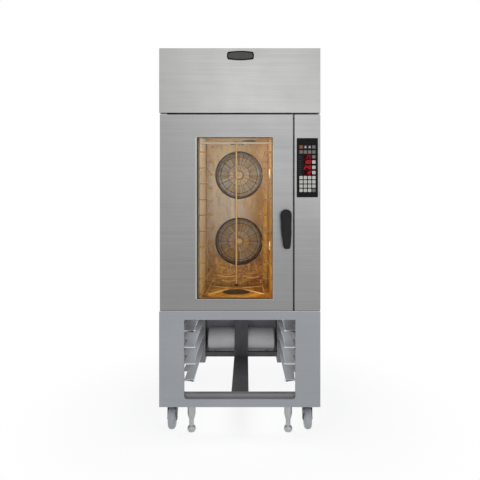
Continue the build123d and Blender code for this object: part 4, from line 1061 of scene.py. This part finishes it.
def build_strips():
    """The lip of the frame between the panes, painted bright as a highlight, and the drip ledge on the
    stand, under the door.
    """
    shape = bmesh.new()
    add_block(shape, *FRAME_LIP)
    piece_from("frame_lip", shape, "pale_wire", "door", bevel=1.5)
    shape = bmesh.new()
    add_block(shape, *LEDGE)
    piece_from("drip_ledge", shape, "trim_steel", bevel=0.8)


# Stand

RUNNER_WIDTH = 53
RUNNER_PITCH = 93
RUNNER_COUNT = 4
LIP_WIRE = 3.6
LIP_REACH = 9
WING_REACH = 24
WING_DEPTH = (151, 749)
WING_THICK = 3


def build_runner_trim():
    """A rolled lip across the front of each runner, bright as the painted highlight along the runner's
    front edge, and the wing along its outer side.
    """
    low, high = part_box("tray_runners")
    outer = high.x / MM
    inner = outer - RUNNER_WIDTH - LIP_REACH
    lip_depth = depth_of(low.y) + LIP_WIRE
    lips, wings = bmesh.new(), bmesh.new()
    for side in (-1, 1):
        for level in range(RUNNER_COUNT):
            top = high.z / MM - RUNNER_PITCH * level
            ends = [spot(side * reach, lip_depth, top - LIP_WIRE + 1) for reach in (inner, outer - 0.5)]
            add_tube(lips, ends, LIP_WIRE, 12)
            x0, x1 = sorted((side * outer, side * (outer + WING_REACH)))
            add_block(wings, x0, x1, *WING_DEPTH, top - WING_THICK, top)
    piece_from("runner_lips", lips, "lip_steel")
    piece_from("runner_wings", wings, "runner_steel")


# The rear rail is the tube whose middle lies behind this depth and under this height
RAIL_DEPTH = 740
RAIL_TOP = 240


def build_stand_tubes():
    """The square tubes: the low rear rail gets the dark finish, the others a steel finish darkened as
    painted shade.
    """
    finishes = (
        ("stand_tube_frame", "tube_steel", "stand_steel", False),
        ("rear_rail", "dark_steel", "dark_steel", True),
    )
    for name, finish, slot, keeps_rail in finishes:
        shape = copy_of("stand_tubes")
        doomed = []
        for part in islands(shape):
            middle = sum((vert.co for vert in part), Vector()) / len(part)
            is_rail = depth_of(middle.y) > RAIL_DEPTH and middle.z < RAIL_TOP * MM
            if is_rail != keeps_rail:
                doomed += part
        bmesh.ops.delete(shape, geom=doomed, context="VERTS")
        join_flats(shape)
        piece_from(name, shape, finish, "root", ("stand_tubes",), 0.7)


def islands(shape):
    """The separate solids of a bmesh, each as a list of its points."""
    left = set(shape.verts)
    found = []
    while left:
        part = [left.pop()]
        for vert in part:
            near = {edge.other_vert(vert) for edge in vert.link_edges} & left
            left -= near
            part += near
        found.append(part)
    return found


# Radius and place along the axle, from the middle of the wheel outwards
TREAD = (
    (62.5, 0), (62.3, 5), (61.2, 10), (58.6, 14.5), (54.6, 18), (50, 19.8), (45, 19.8),
    (43, 18), (30, 16.5), (26, 17.5), (23, 19.8), (0, 19.8),
)
WHEEL_HUB = ((22, 0), (22, 21), (20.5, 23), (15, 23.5), (0, 23.5))
# Half width of the fork's outer faces, and how far the axle's heads stand out from them
FORK_HALF = 27
HEAD_LIFT = 1.4


def both_ways(half):
    """A turned profile with its mirror image."""
    return [(radius, -along) for radius, along in reversed(half)] + list(half[1:])


def build_castors():
    """Wheels with a tread, a core and a hub, and their forks."""
    for corner in ("front_left", "front_right", "rear_left", "rear_right"):
        wheel = "castor_wheel_" + corner
        low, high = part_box(wheel)
        centre = (low + high) / 2
        shape = bmesh.new()
        add_turned(shape, both_ways(TREAD), centre, X, 64)
        add_turned(shape, both_ways(WHEEL_HUB), centre, X, 40)
        piece_from("wheel_tread_" + corner, shape, "castor_grey", "wheel_" + corner, replaced=(wheel,))
        build_fork("castor_fork_" + corner, centre)


def build_fork(node, axle):
    """A castor's fork with rounded edges, and with its axle's nuts cut down to low heads."""
    shape = copy_of(node)
    for side in (-1, 1):
        everything = list(shape.verts) + list(shape.edges) + list(shape.faces)
        cut = axle + X * side * (FORK_HALF + HEAD_LIFT) * MM
        bmesh.ops.bisect_plane(shape, geom=everything, plane_co=cut, plane_no=X * side, clear_outer=True)
        bmesh.ops.holes_fill(shape, edges=[edge for edge in shape.edges if edge.is_boundary])
    join_flats(shape)
    piece_from(node + "_sheet", shape, "castor_zinc", BODY_OF[node], replaced=(node,), bevel=0.5)


STRAP_BOLT = ((0, -3.2), (5, -3), (7, -2), (7.5, 0), (0, 0))
STRAP_BOLT_X = (-30, 30)
STRAP_BOLT_Z = (240, 640)


def build_strap_bolts():
    """The four bolt heads on the dark strap."""
    face = depth_of(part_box("rear_strap")[0].y)
    shape = bmesh.new()
    for x in STRAP_BOLT_X:
        for z in STRAP_BOLT_Z:
            add_turned(shape, STRAP_BOLT, spot(x, face, z), Y, 20)
    piece_from("strap_bolts", shape, "dark_steel")


BACK_SCREW = ((0, 2.2), (3.2, 2), (5, 1), (5.4, 0), (0, 0))
BACK_SCREW_INSET = 14
BACK_SCREW_ROWS = 5
BACK_SCREW_BAYS = 3


def build_back_screws():
    """Screws round the edge of the back panel."""
    low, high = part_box("back_panel")
    inset = BACK_SCREW_INSET * MM
    foot, head = low.z + inset, high.z - inset
    places = [
        (x, foot + (head - foot) * row / (BACK_SCREW_ROWS - 1))
        for x in (low.x + inset, high.x - inset) for row in range(BACK_SCREW_ROWS)
    ]
    places += [
        (low.x + (high.x - low.x) * bay / BACK_SCREW_BAYS, z)
        for bay in range(1, BACK_SCREW_BAYS) for z in (foot, head)
    ]
    shape = bmesh.new()
    for x, z in places:
        add_turned(shape, BACK_SCREW, Vector((x, high.y, z)), Y, 16)
    piece_from("back_screws", shape, "foot_steel")


build_guards()
build_fan_nuts()
build_lamps()
build_drip_pan()
build_strainer()
build_pan_ridges()
build_pipe_ends()
build_baffle_ribs()
build_air_guides()
build_baffle_knobs()
build_handle()
build_readings()
build_keys()
key_face = depth_of(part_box("control_keys")[0].y) - FIGURE_PROUD
build_key_figures(key_face)
build_legend()
build_symbols(key_face)
build_badge()
build_window_bead()
build_window_seal()
build_strips()
build_runner_trim()
build_stand_tubes()
build_castors()
build_strap_bolts()
build_back_screws()


# Camera, floor, light

EYE = (0.035, -3.024, 1.255)
FOCAL = 34.4
SHIFT = (-0.0125, -0.0625)


def set_camera():
    """The photo's viewpoint: level, in front of the oven, a little to the right of its middle."""
    data = bpy.data.cameras.new("camera")
    data.lens = FOCAL
    data.shift_x, data.shift_y = SHIFT
    camera = add_object("camera", data)
    camera.location = EYE
    camera.rotation_euler = (pi / 2, 0, 0)
    bpy.context.scene.camera = camera


WHITE = (1.0, 1.0, 1.0)
ROOM_LIGHT = (0.72, 0.73, 0.75)


def set_world():
    """White where it is seen, and a plain soft light elsewhere."""
    recipe = Recipe("studio", bpy.data.worlds)
    bpy.context.scene.world = recipe.owner
    tone = recipe.mix(recipe.seen(), ROOM_LIGHT, WHITE)
    recipe.plug(tone, recipe.tree.nodes["Background"].inputs["Color"])


FLOOR_REACH = 60
# Distances from the middle between which the floor fades into the background, and its white shares there
FADE = (0.6, 1.4, 0.86, 1.0)


def set_floor():
    """A pale floor that fades into the white background and keeps the oven's shadow."""
    recipe = Recipe("floor")
    grain = recipe.noise(9, 3, 0.5)
    tone = recipe.mix(recipe.span(grain, 0.3, 0.7), grey(0.90), (0.86, 0.86, 0.865))
    recipe.set(Base_Color=tone, Roughness=0.9)
    white = recipe.node("ShaderNodeEmission", {"Color": WHITE, "Strength": 1.0})
    away = recipe.node("ShaderNodeVectorMath", {0: recipe.coords}, operation="LENGTH").outputs["Value"]
    recipe.blend(recipe.times(recipe.seen(), recipe.span(away, *FADE)), recipe.shader, white)
    shape = bmesh.new()
    bmesh.ops.create_grid(shape, x_segments=2, y_segments=2, size=FLOOR_REACH)
    add_object("floor", mesh_from("floor", shape, recipe.owner))


def add_light(name, power, place, aim, size, colour=WHITE, mirrored=False):
    """A soft round light at a place, aimed at a point. Its own disc may be mirrored."""
    data = bpy.data.lights.new(name, "AREA")
    data.energy = power
    data.color = colour
    data.shape = "DISK"
    data.size = size
    light = add_object(name, data)
    light.location = place
    light.rotation_euler = (Vector(aim) - Vector(place)).to_track_quat("-Z", "Y").to_euler()
    light.visible_glossy = mirrored
    return light


# Name, power, place and size of each soft light, and the greatest height of the point it is aimed at
SOFT_LIGHTS = (
    ("key", 14, (0.0, -5.5, 3.4), 2.0),
    ("right_key", 10, (1.1, -5.5, 1.95), 1.8),
)
AIM_HEIGHT = 1.4
# Power, size, and place forward of the runners' middle and above them, of the light in the stand's bay
BAY_FILL = (3.5, 0.42, 0.16, 0.07)
# Name, power, height and colour of the light from each chamber lamp
LAMPS = (
    ("lamp_upper", 2.2, 1.60, (1.0, 0.98, 0.84)),
    ("lamp_middle", 0.9, 1.20, (1.0, 0.92, 0.68)),
    ("lamp_lower", 1.8, 0.86, (1.0, 0.78, 0.34)),
)
# How far the lamps' lights lie right of the chamber's middle and behind its front
LAMP_PLACE = (0.06, 0.22)


def set_lights():
    """Soft lights in front, one for the bay of the stand, and the warm light of the chamber's lamps."""
    for name, power, place, size in SOFT_LIGHTS:
        add_light(name, power, place, (0, 0, min(place[2], AIM_HEIGHT)), size, mirrored=True)
    low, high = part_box("tray_runners")
    power, size, forward, above = BAY_FILL
    place = Vector(((low.x + high.x) / 2, (low.y + high.y) / 2 - forward, high.z + above))
    add_light("bay_fill", power, place, place - Z, size)
    low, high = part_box("cavity")
    for name, power, z, colour in LAMPS:
        place = Vector(((low.x + high.x) / 2 + LAMP_PLACE[0], low.y + LAMP_PLACE[1], z))
        add_light(name, power, place, place + Y, 0.1, colour).data.type = "POINT"


bpy.context.scene.view_settings.view_transform = "Standard"
set_camera()
set_world()
set_floor()
set_lights()
